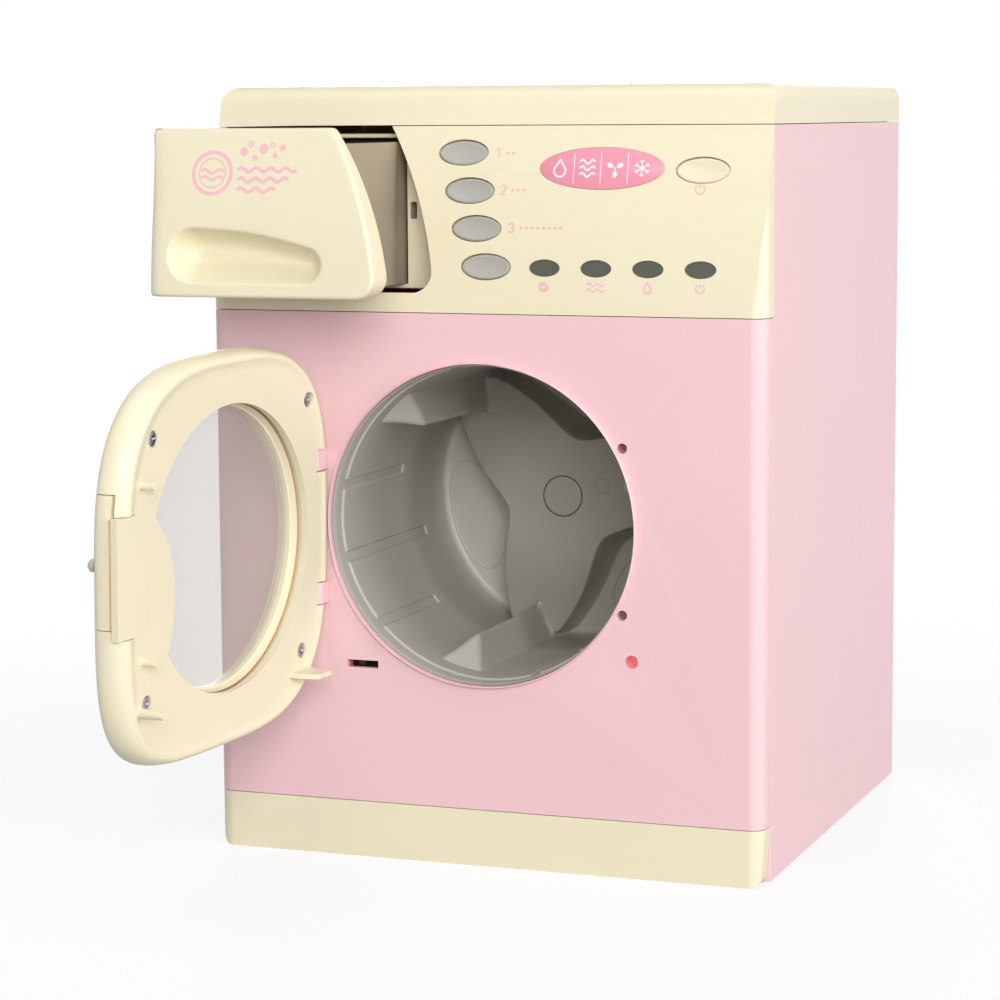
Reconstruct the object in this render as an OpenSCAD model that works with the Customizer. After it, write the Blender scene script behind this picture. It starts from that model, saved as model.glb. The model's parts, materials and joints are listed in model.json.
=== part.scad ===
// Toy front-loading washing machine: a moulded cabinet with a spinning drum,
// a swinging door, a sliding drawer, five push buttons and a battery drive.
// X runs to the right, Y to the back and Z up. The origin is the middle of the
// cabinet's footprint on the floor.

/* [Cabinet] */
// Width of the cabinet
body_w = 217; // [205:1:235]
// Depth of the cabinet, without the door and the drawer
body_d = 208; // [196:1:225]
// Height of the cabinet
body_h = 290; // [288:1:294]
// Wall thickness of the moulded shells
wall = 2.4; // [2:0.1:2.8]
// Radius of the front upright edges
front_edge_r = 6; // [4:0.5:7]
// Radius of the rear upright edges
rear_edge_r = 2.6; // [2.6:0.1:3]
// Height of the seam above the plinth
plinth_h = 21.2; // [18:0.1:24]
// Height of the control fascia between its two seams
fascia_h = 68.5; // [68:0.1:69]
// Height of the lid above its seam
lid_h = 14.5; // [14:0.1:15]
// Radius of the curve that leans the fascia back
lean_r = 240; // [235:1:260]
// How far the front mouldings reach round the sides
side_wrap = 10.4; // [10.2:0.1:11]
// Gap that shows between neighbouring mouldings
seam = 0.3; // [0.2:0.05:0.4]

/* [Port and drum] */
// Distance of the drum axis below the fascia's lower seam
drum_drop = 78.5; // [77:0.5:79.5]
// Radius of the port
port_r = 58.5; // [57:0.1:59]
// Width of the rolled rim round the port
port_rim_w = 2.1; // [1.8:0.1:2.2]
// How far the rolled rim stands out
port_rim_h = 2.2; // [1.8:0.1:2.2]
// Inner radius of the drum
drum_r = 59.7; // [59.4:0.1:60.2]
// Wall thickness of the drum
drum_wall = 3.3; // [3:0.1:3.5]
// Depth of the drum from its mouth to the floor of its sectors
drum_depth = 105; // [102:1:107]
// How far the star rises from that floor
star_h = 20; // [17:0.5:22]
// Radius at the narrowest place of the star
star_waist = 29.5; // [28:0.5:32]
// Height of a paddle above the drum wall
paddle_h = 12.5; // [10:0.5:14]
// Half the width of a paddle at the drum wall
paddle_half_w = 9; // [8:0.5:10]
// Diameter of the drum shaft
shaft_d = 6; // [5:0.5:7]
// Running clearance on the radius of the shaft
shaft_fit = 0.06; // [0.04:0.01:0.09]

/* [Drive] */
// Gear module
gear_module = 1; // [0.95:0.05:1.05]
// Teeth of the drum gear
gear_teeth = 56; // [52:4:60]
// Teeth of the motor pinion
pinion_teeth = 14; // [12:2:16]

/* [Door] */
// How far the door stands open
door_open = 97; // [90:1:98]
// Forward lean of the hinge line, which lets the open door hang a little low
hinge_lean = 1.7; // [0:0.1:2]
// Distance of the hinge line from the middle of the cabinet
hinge_x = -64; // [-64.5:0.1:-63.8]
// Distance of the hinge line in front of the panel
hinge_out = 6; // [5.8:0.1:6.4]
// Gap between the panel and the inner face of the closed door
door_gap = 3.2; // [3.1:0.1:3.4]
// Thickness of the door
door_t = 14; // [13:0.5:15]
// Half the width of the door
door_half_w = 70.5; // [69.5:0.5:71]
// Half the height of the door
door_half_h = 71.2; // [70:0.2:72]
// Diameter of the hinge pins
pin_d = 2.4; // [2:0.1:2.6]
// Running clearance on the radius of the hinge pins
pin_fit = 0.07; // [0.04:0.01:0.09]
// Travel of the door handle when it is squeezed
handle_travel = 1; // [0.6:0.1:1]

/* [Drawer] */
// How far the drawer stands out
drawer_out = 54; // [40:1:56]
// Length of the drawer tray
tray_len = 118; // [110:1:125]
// Wall thickness of the tray and of its bay
tray_wall = 1.6; // [1.4:0.1:1.8]

/* [Controls] */
// Width of a program button
button_w = 19; // [18:0.5:19.5]
// Height of a program button
button_h = 9.2; // [8.6:0.2:9.6]
// Travel of the buttons
button_travel = 1.2; // [0.8:0.1:1.4]
// Clearance round a button
button_fit = 0.35; // [0.3:0.05:0.4]

/* [Hidden] */

front_y = -body_d / 2;
back_y = body_d / 2;
side_x = body_w / 2;
split_y = front_y + side_wrap;
lid_z = body_h - lid_h;
fascia_z = lid_z - fascia_h;
drum_z = fascia_z - drum_drop;
inside_fit = 0.2;
far = 400;
tiny = 0.01;

// Colours of the mouldings
cream = "#efe8c8";
pink = "#efb9bd";
grey = "#9a958e";
pale_grey = "#b9b6b0";
steel = "#b8bcc2";
black = "#26272a";
label_pink = "#f3a3b6";

function arc(cx, cy, r, a0, a1, n) =
  [for (i = [0:n]) [cx + r * cos(a0 + (a1 - a0) * i / n), cy + r * sin(a0 + (a1 - a0) * i / n)]];
function lean(z) = z > fascia_z ? (z - fascia_z) * (z - fascia_z) / (2 * lean_r) : 0;
function lean_angle(z) = atan(max(0, z - fascia_z) / lean_r);

// Places a flat shape, drawn in X and Z, on an upright plane; it then grows to the front
module facing(y) {
  translate([0, y, 0])
    rotate([90, 0, 0])
      children();
}

// Local frame on the curved fascia: Z points out of it, Y runs up along it
module on_fascia(x, z) {
  translate([x, front_y + lean(z), z])
    rotate([90 - lean_angle(z), 0, 0])
      children();
}

// Ellipse as a polygon, for caps and lenses
module oval(w, h) {
  polygon([for (a = [0:10:350]) [w / 2 * cos(a), h / 2 * sin(a)]]);
}

// Footprint of the cabinet, drawn smaller by inset
module footprint(inset) {
  w = body_w - 2 * inset;
  d = body_d - 2 * inset;
  rf = front_edge_r - inset;
  rr = rear_edge_r - inset;
  translate([-w / 2, -d / 2 + rf])
    square([w, d - rf - rr]);
  translate([-w / 2 + rf, -d / 2])
    square([w - 2 * rf, rf + tiny]);
  translate([-w / 2 + rr, d / 2 - rr - tiny])
    square([w - 2 * rr, rr + tiny]);
  for (s = [-1, 1]) {
    translate([s * (w / 2 - rf), -d / 2 + rf])
      circle(r = rf, $fn = 48);
    translate([s * (w / 2 - rr), d / 2 - rr])
      circle(r = rr, $fn = 32);
  }
}

// Side view of the cabinet: upright below, leaning back above, round at the top
lid_front_r = 8;
lid_rear_r = 3.5;
lid_side_r = 6;
lid_curve_z = body_h - lid_front_r * (1 - sin(18));
module side_view(inset) {
  y0 = front_y + inset;
  y1 = back_y - inset;
  top = body_h - inset;
  rf = lid_front_r - inset;
  rr = lid_rear_r - inset;
  polygon(concat(
    [[y1, -1], [y0, -1]],
    [for (i = [0:10]) let (z = fascia_z + (lid_curve_z - inset - fascia_z) * i / 10) [y0 + lean(z), z]],
    arc(y0 + lean(lid_curve_z) + rf * cos(18), top - rf, rf, 150, 90, 5),
    arc(y1 - rr, top - rr, rr, 90, 0, 5)));
}

// Front view of the cabinet, with the rounded long edges of the lid
module end_view(inset) {
  x = side_x - inset;
  top = body_h - inset;
  r = lid_side_r - inset;
  polygon(concat([[-x, -1], [x, -1]], arc(x - r, top - r, r, 0, 90, 6), arc(r - x, top - r, r, 90, 180, 6)));
}

// Solid of the whole cabinet between two heights, drawn smaller by inset
module envelope(inset, z0, z1) {
  intersection() {
    translate([0, 0, z0])
      linear_extrude(z1 - z0)
        footprint(inset);
    rotate([90, 0, 90])
      translate([0, 0, -far / 2])
        linear_extrude(far)
          side_view(inset);
    facing(far / 2)
      linear_extrude(far)
        end_view(inset);
  }
}

// Slab of everything in front of a plane
module before(y) {
  translate([-far / 2, y - far, -1])
    cube([far, far, far]);
}

// Screw with its head below and its thread growing along Z
module screw(length, head_r, head_t, r) {
  translate([0, 0, -head_t])
    cylinder(h = head_t, r = head_r, $fn = 24);
  translate([0, 0, -tiny])
    cylinder(h = length + tiny, r = r, $fn = 24);
}

// Rear shell: both sides and the back in one moulding

bat_x = 0;
bat_z = 55;
leg_x = 44;
leg_dz = 30;
leg_r = 4.5;
leg_screw_r = 1.5;
leg_screw_len = 16;
shell_z = 0.6;
screw_sink = 1.4;
base_screw_r = 1.35;
base_screw_in = 12;
base_post_r = 4.2;
base_post_h = 16;

module leg_places() {
  for (sx = [-1, 1])
    for (sz = [-1, 1])
      translate([sx * leg_x, 0, drum_z + sz * leg_dz])
        rotate([90, 0, 0])
          children();
}

module rear_shell() {
  color(pink) {
    difference() {
      envelope(0, shell_z, lid_z - seam);
      translate([-side_x + wall, -far, -1])
        cube([body_w - 2 * wall, far + back_y - wall, far]);
      before(split_y + seam);
      translate([bat_x - bat_open_w / 2, back_y - 10, bat_z - bat_open_h / 2])
        cube([bat_open_w, 20, bat_open_h]);
      translate([0, back_y + 5, 0])
        leg_places() {
          cylinder(h = 20, r = 1.7, $fn = 24);
          cylinder(h = 5 + screw_sink, r = 3.3, $fn = 32);
        }
    }
    translate([0, 0, wall + 0.2])
      base_screw_places()
        difference() {
          cylinder(h = base_post_h, r = base_post_r, $fn = 32);
          translate([0, 0, -1])
            cylinder(h = base_post_h - 2, r = base_screw_r + 0.05, $fn = 24);
        }
  }
}

// Front panel with the port, the hinge lugs and the latch holes

panel_t = 2.5;
panel_z0 = plinth_h + seam;
panel_z1 = fascia_z - seam;
mouth_gap = 8;
collar_len = mouth_gap - 0.8;
peg_x = 55;
peg_dz = 30.6;
peg_hole_r = 1.9;
catch_x = 58.6;
catch_z = drum_z - 47.6;
catch_hole_r = 2.45;
slot_x0 = -53.9;
slot_x1 = -41.4;
slot_z = drum_z - 54.4;
slot_h = 2.9;
lug_h = 8;
lug_dz = [-27.2, 23.3];
lug_r = 2.9;

// Local frame whose Z axis is the hinge line; height is measured from the drum axis
module hinge_frame() {
  translate([hinge_x, front_y - hinge_out, drum_z])
    rotate([hinge_lean, 0, 0])
      children();
}

// Turns a closed door to the place where it stands open
module open_door() {
  hinge_frame()
    rotate([0, 0, -door_open])
      rotate([-hinge_lean, 0, 0])
        translate([-hinge_x, hinge_out - front_y, -drum_z])
          children();
}

module hinge_lug(dz) {
  difference() {
    union() {
      hinge_frame()
        translate([0, 0, dz - lug_h / 2])
          cylinder(h = lug_h, r = lug_r, $fn = 40);
      translate([hinge_x - lug_r, front_y - hinge_out, drum_z + dz - lug_h / 2 + 0.1])
        cube([2 * lug_r, hinge_out + 1, lug_h - 0.2]);
    }
    hinge_frame()
      translate([0, 0, dz - lug_h])
        cylinder(h = 2 * lug_h, r = pin_d / 2 + pin_fit, $fn = 32);
  }
}

module front_panel() {
  color(pink) {
    difference() {
      envelope(0, panel_z0, panel_z1);
      translate([-side_x + wall, front_y + panel_t, -1])
        cube([body_w - 2 * wall, far, far]);
      translate([-far / 2, split_y, -1])
        cube([far, far, far]);
      translate([0, front_y + 20, drum_z])
        rotate([90, 0, 0])
          cylinder(h = 40, r = port_r, $fn = 128);
      for (s = [-1, 1])
        translate([peg_x, front_y + 10, drum_z + s * peg_dz])
          rotate([90, 0, 0])
            cylinder(h = 20, r = peg_hole_r, $fn = 32);
      translate([catch_x, front_y + 10, catch_z])
        rotate([90, 0, 0])
          cylinder(h = 20, r = catch_hole_r, $fn = 32);
      translate([slot_x0, front_y - 5, slot_z - slot_h / 2])
        cube([slot_x1 - slot_x0, 20, slot_h]);
    }
    // Rolled rim in front and collar behind
    translate([0, front_y, drum_z])
      rotate([90, 0, 0])
        rotate_extrude($fn = 128) {
          translate([port_r, -collar_len])
            square([port_rim_w, collar_len + port_rim_h - port_rim_w / 2]);
          translate([port_r + port_rim_w / 2, port_rim_h - port_rim_w / 2])
            circle(r = port_rim_w / 2, $fn = 32);
        }
    for (dz = lug_dz)
      hinge_lug(dz);
    // Holder of the door switch, clear of the drum's flange
    translate([switch_x - switch_w / 2 - holder_t - 0.1, front_y + panel_t - tiny, slot_z - switch_w / 2])
      cube([holder_t, switch_y + switch_deep - front_y - panel_t, switch_w]);
    translate([switch_x - switch_w / 2 - holder_t - 0.1, front_y + panel_t - tiny,
        slot_z - switch_w / 2 + 1 - holder_t - 0.1])
      cube([switch_w + holder_t, switch_y + switch_deep - front_y - panel_t, holder_t]);
    // Tongues that grip the rear shell
    for (s = [-1, 1])
      translate([s * (side_x - wall - 1.1) - 1, front_y + panel_t - tiny, panel_z0 + 4])
        cube([2, side_wrap + 6, panel_z1 - panel_z0 - 8]);
  }
}

// Control fascia: leans back, with the drawer's cut-out at its left

cut_cx = -side_x - 36.8;
cut_cz = fascia_z + 0.2;
cut_r = 127.5;
cut_z0 = fascia_z + 7.1;
cut_corner_r = 8;
cut_corner_z = cut_z0 + cut_corner_r;
cut_corner_a = asin((cut_corner_z - cut_cz) / (cut_r - cut_corner_r));
cut_corner_x = cut_cx + (cut_r - cut_corner_r) * cos(cut_corner_a);

// Front view of the drawer's cut-out, drawn smaller by inset
module drawer_outline(inset, top) {
  x0 = -side_x - 5;
  r = cut_r - inset;
  polygon(concat(
    [[x0, top], [x0, cut_z0 + inset]],
    arc(cut_corner_x, cut_corner_z, cut_corner_r - inset, -90, cut_corner_a, 8),
    arc(cut_cx, cut_cz, r, cut_corner_a, asin((top - cut_cz) / r), 12)));
}

// Place of each program button, from the left side and from the fascia's lower seam
button_from = [[100.2, 58.5], [103.6, 44.7], [106.9, 31], [111, 17.1]];
button_at = [for (b = button_from) [b[0] - side_x, b[1] + fascia_z]];
power_at = [side_x - 25, fascia_z + 52.2];
power_w = 19.8;
power_h = 9.2;
label_at = [side_x - 63, fascia_z + 52.8];
label_w = 47.2;
label_h = 15.4;
lens_w = 11.9;
lens_h = 6.3;
lens_z = fascia_z + 16.9;
lens_x0 = 133.7 - side_x;
lens_x1 = side_x - 24.35;
lens_x = [for (i = [0:3]) lens_x0 + i * (lens_x1 - lens_x0) / 3];
fascia_hold = 8;
label_sink = 0.9;
post_r = 3;

module control_fascia() {
  color(cream) {
    difference() {
      envelope(0, fascia_z, lid_z - seam);
      envelope(wall, -1, far);
      translate([-far / 2, split_y + fascia_hold, -1])
        cube([far, far, far]);
      // Only the front wall reaches in between the sides of the rear shell
      for (s = [-1, 1])
        translate([s * (side_x - wall / 2) - wall / 2 - inside_fit, split_y, -1])
          cube([wall + 2 * inside_fit, far, far]);
      facing(far / 2)
        linear_extrude(far)
          drawer_outline(0, lid_z + 1);
      for (p = button_at)
        on_fascia(p[0], p[1])
          translate([0, 0, -6])
            linear_extrude(12)
              oval(button_w + 2 * button_fit, button_h + 2 * button_fit);
      on_fascia(power_at[0], power_at[1])
        translate([0, 0, -6])
          linear_extrude(12)
            oval(power_w + 2 * button_fit, power_h + 2 * button_fit);
      for (x = lens_x)
        on_fascia(x, lens_z)
          translate([0, 0, -6])
            linear_extrude(12)
              oval(lens_w, lens_h);
      on_fascia(label_at[0], label_at[1])
        translate([0, 0, -label_sink])
          linear_extrude(5)
            oval(label_w + seam, label_h + seam);
    }
    // Posts that carry the control board
    for (p = board_posts)
      board_frame(p[0], p[1])
        difference() {
          cylinder(h = post_len(p[1]), r = post_r, $fn = 24);
          translate([0, 0, -1])
            cylinder(h = 6, r = 0.9, $fn = 16);
        }
  }
}

// Control board: a flat plate behind the fascia, square to it at mid height

board_mid_z = fascia_z + 36;
board_back = 16;
board_t = 1.6;
board_x0 = 92.5 - side_x;
board_x1 = side_x - 7.5;
board_half_h = 27;
post_in = 5;
board_posts = [[board_x0 + post_in, -13], [board_x1 - post_in, post_in - board_half_h],
  [board_x1 - post_in, board_half_h - post_in], [(board_x0 + board_x1) / 2 - 6.5, -4]];
board_angle = lean_angle(board_mid_z);

// Local frame of the board's front face: X in the cabinet, Y up along the board, Z to the front
module board_frame(x, v) {
  on_fascia(x, board_mid_z)
    translate([0, v, -board_back])
      children();
}

// Depth of the fascia's curve behind its tangent at mid height, v up along it
function curve_drop(v) = v * v / (2 * lean_r);
function post_len(v) = board_back - wall - curve_drop(v) + 0.5;

module control_board() {
  color("#2f6b45")
    difference() {
      board_frame(0, 0)
        translate([board_x0, -board_half_h, -board_t])
          linear_extrude(board_t)
            square([board_x1 - board_x0, 2 * board_half_h]);
      for (p = board_posts)
        board_frame(p[0], p[1])
          translate([0, 0, -5])
            cylinder(h = 10, r = 1.2, $fn = 24);
    }
}

// Height along the board of the point behind a place on the fascia
function board_v(z) = (z - board_mid_z) * cos(board_angle) + (lean(z) - lean(board_mid_z)) * sin(board_angle)
  + board_back * tan(board_angle - lean_angle(z));
// Distance from the fascia's face to the board along the button's own line
function board_gap(z) = (board_back - (lean(z) - lean(board_mid_z)) * cos(board_angle)
  + (z - board_mid_z) * sin(board_angle)) / cos(lean_angle(z) - board_angle);

switch_h = 3.4;
nub_h = 1;

module button_switches() {
  color(black)
    for (p = concat(button_at, [power_at]))
      board_frame(p[0], board_v(p[1])) {
        translate([-3, -3, 0])
          cube([6, 6, switch_h]);
        cylinder(h = switch_h + nub_h, r = 1.7, $fn = 24);
      }
}

cap_sink = 0.4;
cap_h = wall + 0.3 - cap_sink;
cap_flange = 1.2;

// Push button: a dished oval cap, a flange that holds it in and a stem
module push_button(x, z, w, h) {
  stem = board_gap(z) - cap_sink - cap_h - switch_h - nub_h - button_travel - 0.15;
  on_fascia(x, z) {
    difference() {
      translate([0, 0, -cap_sink - cap_h])
        linear_extrude(cap_h)
          oval(w, h);
      translate([0, 0, 30 - cap_sink - 1])
        sphere(r = 30, $fn = 96);
    }
    translate([0, 0, -cap_sink - cap_h - cap_flange])
      linear_extrude(cap_flange)
        oval(w + 2.4, h + 2.4);
    translate([0, 0, -cap_sink - cap_h - stem])
      cylinder(h = stem, r = 2, $fn = 24);
  }
}

module program_button(i) {
  color(pale_grey)
    push_button(button_at[i][0], button_at[i][1], button_w, button_h);
}

module program_button_1() {
  program_button(0);
}

module program_button_2() {
  program_button(1);
}

module program_button_3() {
  program_button(2);
}

module program_button_4() {
  program_button(3);
}

module power_button() {
  color(cream)
    push_button(power_at[0], power_at[1], power_w, power_h);
}

module indicator_lenses() {
  color("#6d7066")
    for (x = lens_x)
      on_fascia(x, lens_z) {
        translate([0, 0, -wall - 0.2])
          linear_extrude(wall - 0.3)
            oval(lens_w - 0.2, lens_h - 0.2);
        translate([0, 0, -wall - 1.2])
          linear_extrude(1)
            oval(lens_w + 2, lens_h + 2);
      }
}

module indicator_leds() {
  color("#e8e4d8")
    for (x = lens_x)
      board_frame(x, board_v(lens_z)) {
        cylinder(h = 4, r = 1.5, $fn = 24);
        translate([0, 0, 4])
          sphere(r = 1.5, $fn = 24);
      }
}

module display_label() {
  color(label_pink)
    on_fascia(label_at[0], label_at[1])
      translate([0, 0, -label_sink])
        linear_extrude(label_sink + 0.1)
          oval(label_w, label_h);
}

// Top lid

tongue_t = 1.6;
tongue_h = 6;
tongue_end = 12;

module top_lid() {
  color(cream) {
    difference() {
      envelope(0, lid_z, body_h);
      envelope(wall, -1, body_h);
    }
    // Tongues that drop inside the shell, behind the drawer bay, and keep the lid in place
    y0 = bay_y0 + bay_len + 6;
    side_len = back_y - tongue_end - y0;
    for (s = [-1, 1]) {
      translate([s * (side_x - wall - inside_fit - tongue_t / 2) - tongue_t / 2, y0, lid_z - tongue_h])
        cube([tongue_t, side_len, tongue_h + 3]);
      translate([s * (side_x - wall - 0.5) - 1, y0, lid_z + 0.5])
        cube([2, side_len, 2.5]);
    }
    translate([tongue_end - side_x, back_y - wall - inside_fit - tongue_t, lid_z - tongue_h])
      cube([body_w - 2 * tongue_end, tongue_t, tongue_h + 3]);
    translate([tongue_end - side_x, back_y - wall - 1.5, lid_z + 0.5])
      cube([body_w - 2 * tongue_end, 2, 2.5]);
  }
}

// Plinth under the front panel, with rounded lower corners

plinth_corner_r = 4;

module base_plinth() {
  color(cream)
    difference() {
      intersection() {
        envelope(0, 0, plinth_h);
        facing(far / 2)
          linear_extrude(far)
            polygon(concat([[side_x, plinth_h + 1], [-side_x, plinth_h + 1]],
              arc(plinth_corner_r - side_x + 1.2, plinth_corner_r, plinth_corner_r, 180, 270, 5),
              arc(side_x - 1.2 - plinth_corner_r, plinth_corner_r, plinth_corner_r, 270, 360, 5)));
      }
      translate([-side_x + wall + 1, front_y + wall, -1])
        cube([body_w - 2 * wall - 2, far, far]);
      translate([-far / 2, split_y, -1])
        cube([far, far, far]);
    }
}

module base_plate() {
  color(pink)
    difference() {
      union() {
        translate([-side_x + wall + 1.2, front_y + wall + 0.1, 0])
          cube([body_w - 2 * wall - 2.4, side_wrap + 1, wall]);
        translate([-side_x + wall + 0.1, split_y + seam, 0])
          cube([body_w - 2 * wall - 0.2, back_y - wall - 0.1 - split_y - seam, wall]);
        // Upstand behind the plinth and the panel's foot
        translate([-side_x + 14, front_y + panel_t + 0.1, 0])
          cube([body_w - 28, 1.6, plinth_h + 6]);
      }
      base_screw_places() {
        cylinder(h = 12, r = base_screw_r + 0.25, center = true, $fn = 24);
        cylinder(h = 3, r = 3, center = true, $fn = 24);
      }
    }
}

module base_screw_places() {
  for (s = [-1, 1])
    for (y = [split_y + base_screw_in, back_y - base_screw_in])
      translate([s * (side_x - wall - base_post_r + 0.2), y, 0])
        children();
}

module base_screws() {
  color(steel)
    base_screw_places()
      translate([0, 0, 1.5])
        screw(length = 9, head_r = 2.7, head_t = 1.2, r = base_screw_r);
}

// Drum: flange, wall with channels, three paddles and a three-lobed star at the back

drum_mouth = front_y + mouth_gap;
drum_floor = drum_mouth + drum_depth;
star_y = drum_floor - star_h;
flange_r = 68;
flange_t = 2;
drum_back_t = 2.2;
sector_half = 48;
paddle_a = 15;
channel_w = 4;
channel_deep = 1.6;
channel_turn = 27;
hub_r = 8;
mark_r = 17;
shaft_r = shaft_d / 2;

// Radius of the star's edge, turn degrees away from the middle of a sector
function star_edge(turn) = star_waist + (drum_r - star_waist) * pow(turn / sector_half, 2);

// One sector of the floor between star and drum wall, drawn larger by grow
module sector(grow) {
  n = 12;
  polygon(concat(
    [for (i = [-n:n]) let (a = sector_half * i / n) (star_edge(a) - grow) * [cos(a), sin(a)]],
    [for (i = [n:-1:-n]) let (a = (sector_half + grow / drum_r * 57) * i / n)
      (drum_r + grow + tiny) * [cos(a), sin(a)]]));
}

module three_times() {
  for (k = [0:2])
    rotate([0, 0, paddle_a + 120 * k])
      children();
}

// Paddle: a ridge with a sloped front, drawn along the drum's depth
module paddle() {
  len = drum_depth - star_h - 3.5;
  base = drum_r + 1;
  tip = drum_r - paddle_h;
  tip_r = 2.4;
  difference() {
    translate([0, 0, -len - 3.5])
      linear_extrude(len)
        polygon(concat(
          [[base, paddle_half_w]],
          arc(tip + tip_r, 0, tip_r, 130, 230, 8),
          [[base, -paddle_half_w]]));
    translate([base, 0, -3.5])
      rotate([0, -46, 0])
        translate([-60, -30, 0])
          cube([80, 60, 40]);
  }
}

module drum() {
  color(grey)
    translate([0, drum_mouth, drum_z])
      rotate([90, 0, 0]) {
        difference() {
          union() {
            translate([0, 0, -flange_t])
              cylinder(h = flange_t, r = flange_r, $fn = 128);
            translate([0, 0, -drum_depth - drum_back_t])
              cylinder(h = drum_depth + drum_back_t, r = drum_r + drum_wall, $fn = 128);
          }
          translate([0, 0, star_h - drum_depth])
            cylinder(h = drum_depth, r = drum_r, $fn = 128);
          three_times()
            rotate([0, 0, 60]) {
              translate([0, 0, -drum_depth])
                linear_extrude(drum_depth)
                  sector(0);
              for (i = [-1:1])
                rotate([0, 0, i * channel_turn])
                  translate([drum_r - 5, -channel_w / 2, -(i == 0 ? 80 : 58)])
                    cube([5 + channel_deep, channel_w, 90]);
            }
          // Hollow behind the star
          difference() {
            translate([0, 0, -drum_depth - 5])
              cylinder(h = star_h + 5 - drum_back_t, r = drum_r - 1, $fn = 96);
            three_times()
              rotate([0, 0, 60])
                translate([0, 0, -drum_depth - 6])
                  linear_extrude(star_h + 8)
                    sector(drum_back_t);
            translate([0, 0, -drum_depth - 6])
              cylinder(h = star_h + 8, r = hub_r, $fn = 64);
          }
          translate([0, 0, -drum_depth - 6])
            cylinder(h = star_h + 3, r = shaft_r, $fn = 48);
        }
        three_times()
          paddle();
      }
}

hub_back = drum_floor + drum_back_t;
gear_y = hub_back + 4;
gear_t = 6;
plate_y = hub_back + 17;
plate_t = 3;
bush_y = plate_y - 3;
bush_len = 12;
bush_r = shaft_r + 3;
clip_y = bush_y + bush_len + 0.2;
shaft_len = clip_y + 4 - (star_y + 4);

// Places a part on the drum axis, growing to the back
module on_axis(y) {
  translate([0, y, drum_z])
    rotate([-90, 0, 0])
      children();
}

module drum_shaft() {
  color(steel)
    on_axis(star_y + 4)
      cylinder(h = shaft_len, r = shaft_r, $fn = 48);
}

module shaft_bush() {
  color("#c9a24b")
    on_axis(bush_y)
      difference() {
        union() {
          cylinder(h = bush_len, r = bush_r, $fn = 48);
          cylinder(h = 2.8, r = bush_r + 2.5, $fn = 48);
        }
        translate([0, 0, -1])
          cylinder(h = bush_len + 2, r = shaft_r + shaft_fit, $fn = 48);
      }
}

module shaft_clip() {
  color(steel)
    on_axis(clip_y)
      difference() {
        cylinder(h = 1.2, r = shaft_r + 2, $fn = 32);
        translate([0, 0, -1])
          cylinder(h = 4, r = shaft_r, $fn = 48);
      }
}

gear_r = gear_module * gear_teeth / 2;
pinion_r = gear_module * pinion_teeth / 2;
motor_a = 270;
motor_dist = gear_r + pinion_r + 0.15;
motor_r = 12;
motor_len = 30;
motor_shaft_r = 1;
motor_bore = 14;

// Spur gear with straight-sided teeth
module gear_blank(teeth, t) {
  r = gear_module * teeth / 2;
  root = r - 1.15 * gear_module;
  tip = r + 0.9 * gear_module;
  pitch = 360 / teeth;
  linear_extrude(t)
    polygon([for (i = [0:teeth - 1]) for (c = [[-0.29, root], [-0.11, tip], [0.11, tip], [0.29, root]])
      c[1] * [cos((i + c[0]) * pitch), sin((i + c[0]) * pitch)]]);
}

module drive_gear() {
  color("#e9e6dc")
    on_axis(gear_y)
      difference() {
        union() {
          gear_blank(gear_teeth, gear_t);
          translate([0, 0, hub_back + 0.2 - gear_y])
            cylinder(h = bush_y - hub_back - 0.5, r = shaft_r + 3, $fn = 48);
        }
        translate([0, 0, -5])
          cylinder(h = 20, r = shaft_r, $fn = 48);
        for (a = [0:60:300])
          rotate([0, 0, a])
            translate([gear_r * 0.607, 0, -1])
              cylinder(h = gear_t + 2, r = gear_r * 0.179, $fn = 32);
      }
}

// Places a part on the motor's axis
module on_motor(y) {
  on_axis(y)
    rotate([0, 0, -motor_a])
      translate([motor_dist, 0, 0])
        children();
}

module motor_pinion() {
  color("#e9e6dc")
    on_motor(gear_y - 1)
      difference() {
        rotate([0, 0, 180 + 180 / pinion_teeth])
          gear_blank(pinion_teeth, gear_t + 2);
        translate([0, 0, -1])
          cylinder(h = gear_t + 4, r = motor_shaft_r, $fn = 32);
      }
}

module motor_shaft() {
  color(steel)
    on_motor(gear_y - 1.5)
      cylinder(h = plate_y + plate_t + motor_bore - 1 - gear_y + 1.5, r = motor_shaft_r, $fn = 32);
}

module drive_motor() {
  color(steel)
    on_motor(plate_y + plate_t)
      difference() {
        union() {
          cylinder(h = motor_len, r = motor_r, $fn = 64);
          translate([0, 0, motor_len])
            cylinder(h = 3, r = 4, $fn = 32);
        }
        translate([0, 0, -1])
          cylinder(h = motor_bore + 1, r = motor_shaft_r + shaft_fit, $fn = 32);
      }
}

module drive_bracket() {
  leg_len = back_y - wall - plate_y - plate_t;
  edge = 8;
  color("#d9d2bd")
    difference() {
      union() {
        on_axis(plate_y)
          translate([-leg_x - edge, -leg_dz - edge, 0])
            cube([2 * (leg_x + edge), leg_dz + edge + motor_dist + motor_r + 2, plate_t]);
        on_axis(plate_y + plate_t - tiny)
          cylinder(h = 5, r = bush_r + 2.5, $fn = 48);
        translate([0, back_y - wall, 0])
          leg_places()
            cylinder(h = leg_len + 1, r = leg_r, $fn = 32);
        // Ribs that join the legs in pairs
        for (sx = [-1, 1])
          translate([sx * leg_x - 1, plate_y + 1, drum_z - leg_dz])
            cube([2, leg_len * 0.6, 2 * leg_dz]);
      }
      on_axis(plate_y - 5)
        cylinder(h = 20, r = bush_r, $fn = 48);
      on_motor(plate_y - 1)
        cylinder(h = 6, r = 4.5, $fn = 32);
      translate([0, back_y, 0])
        leg_places()
          cylinder(h = leg_screw_len + 6, r = leg_screw_r, $fn = 24);
    }
}

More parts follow.
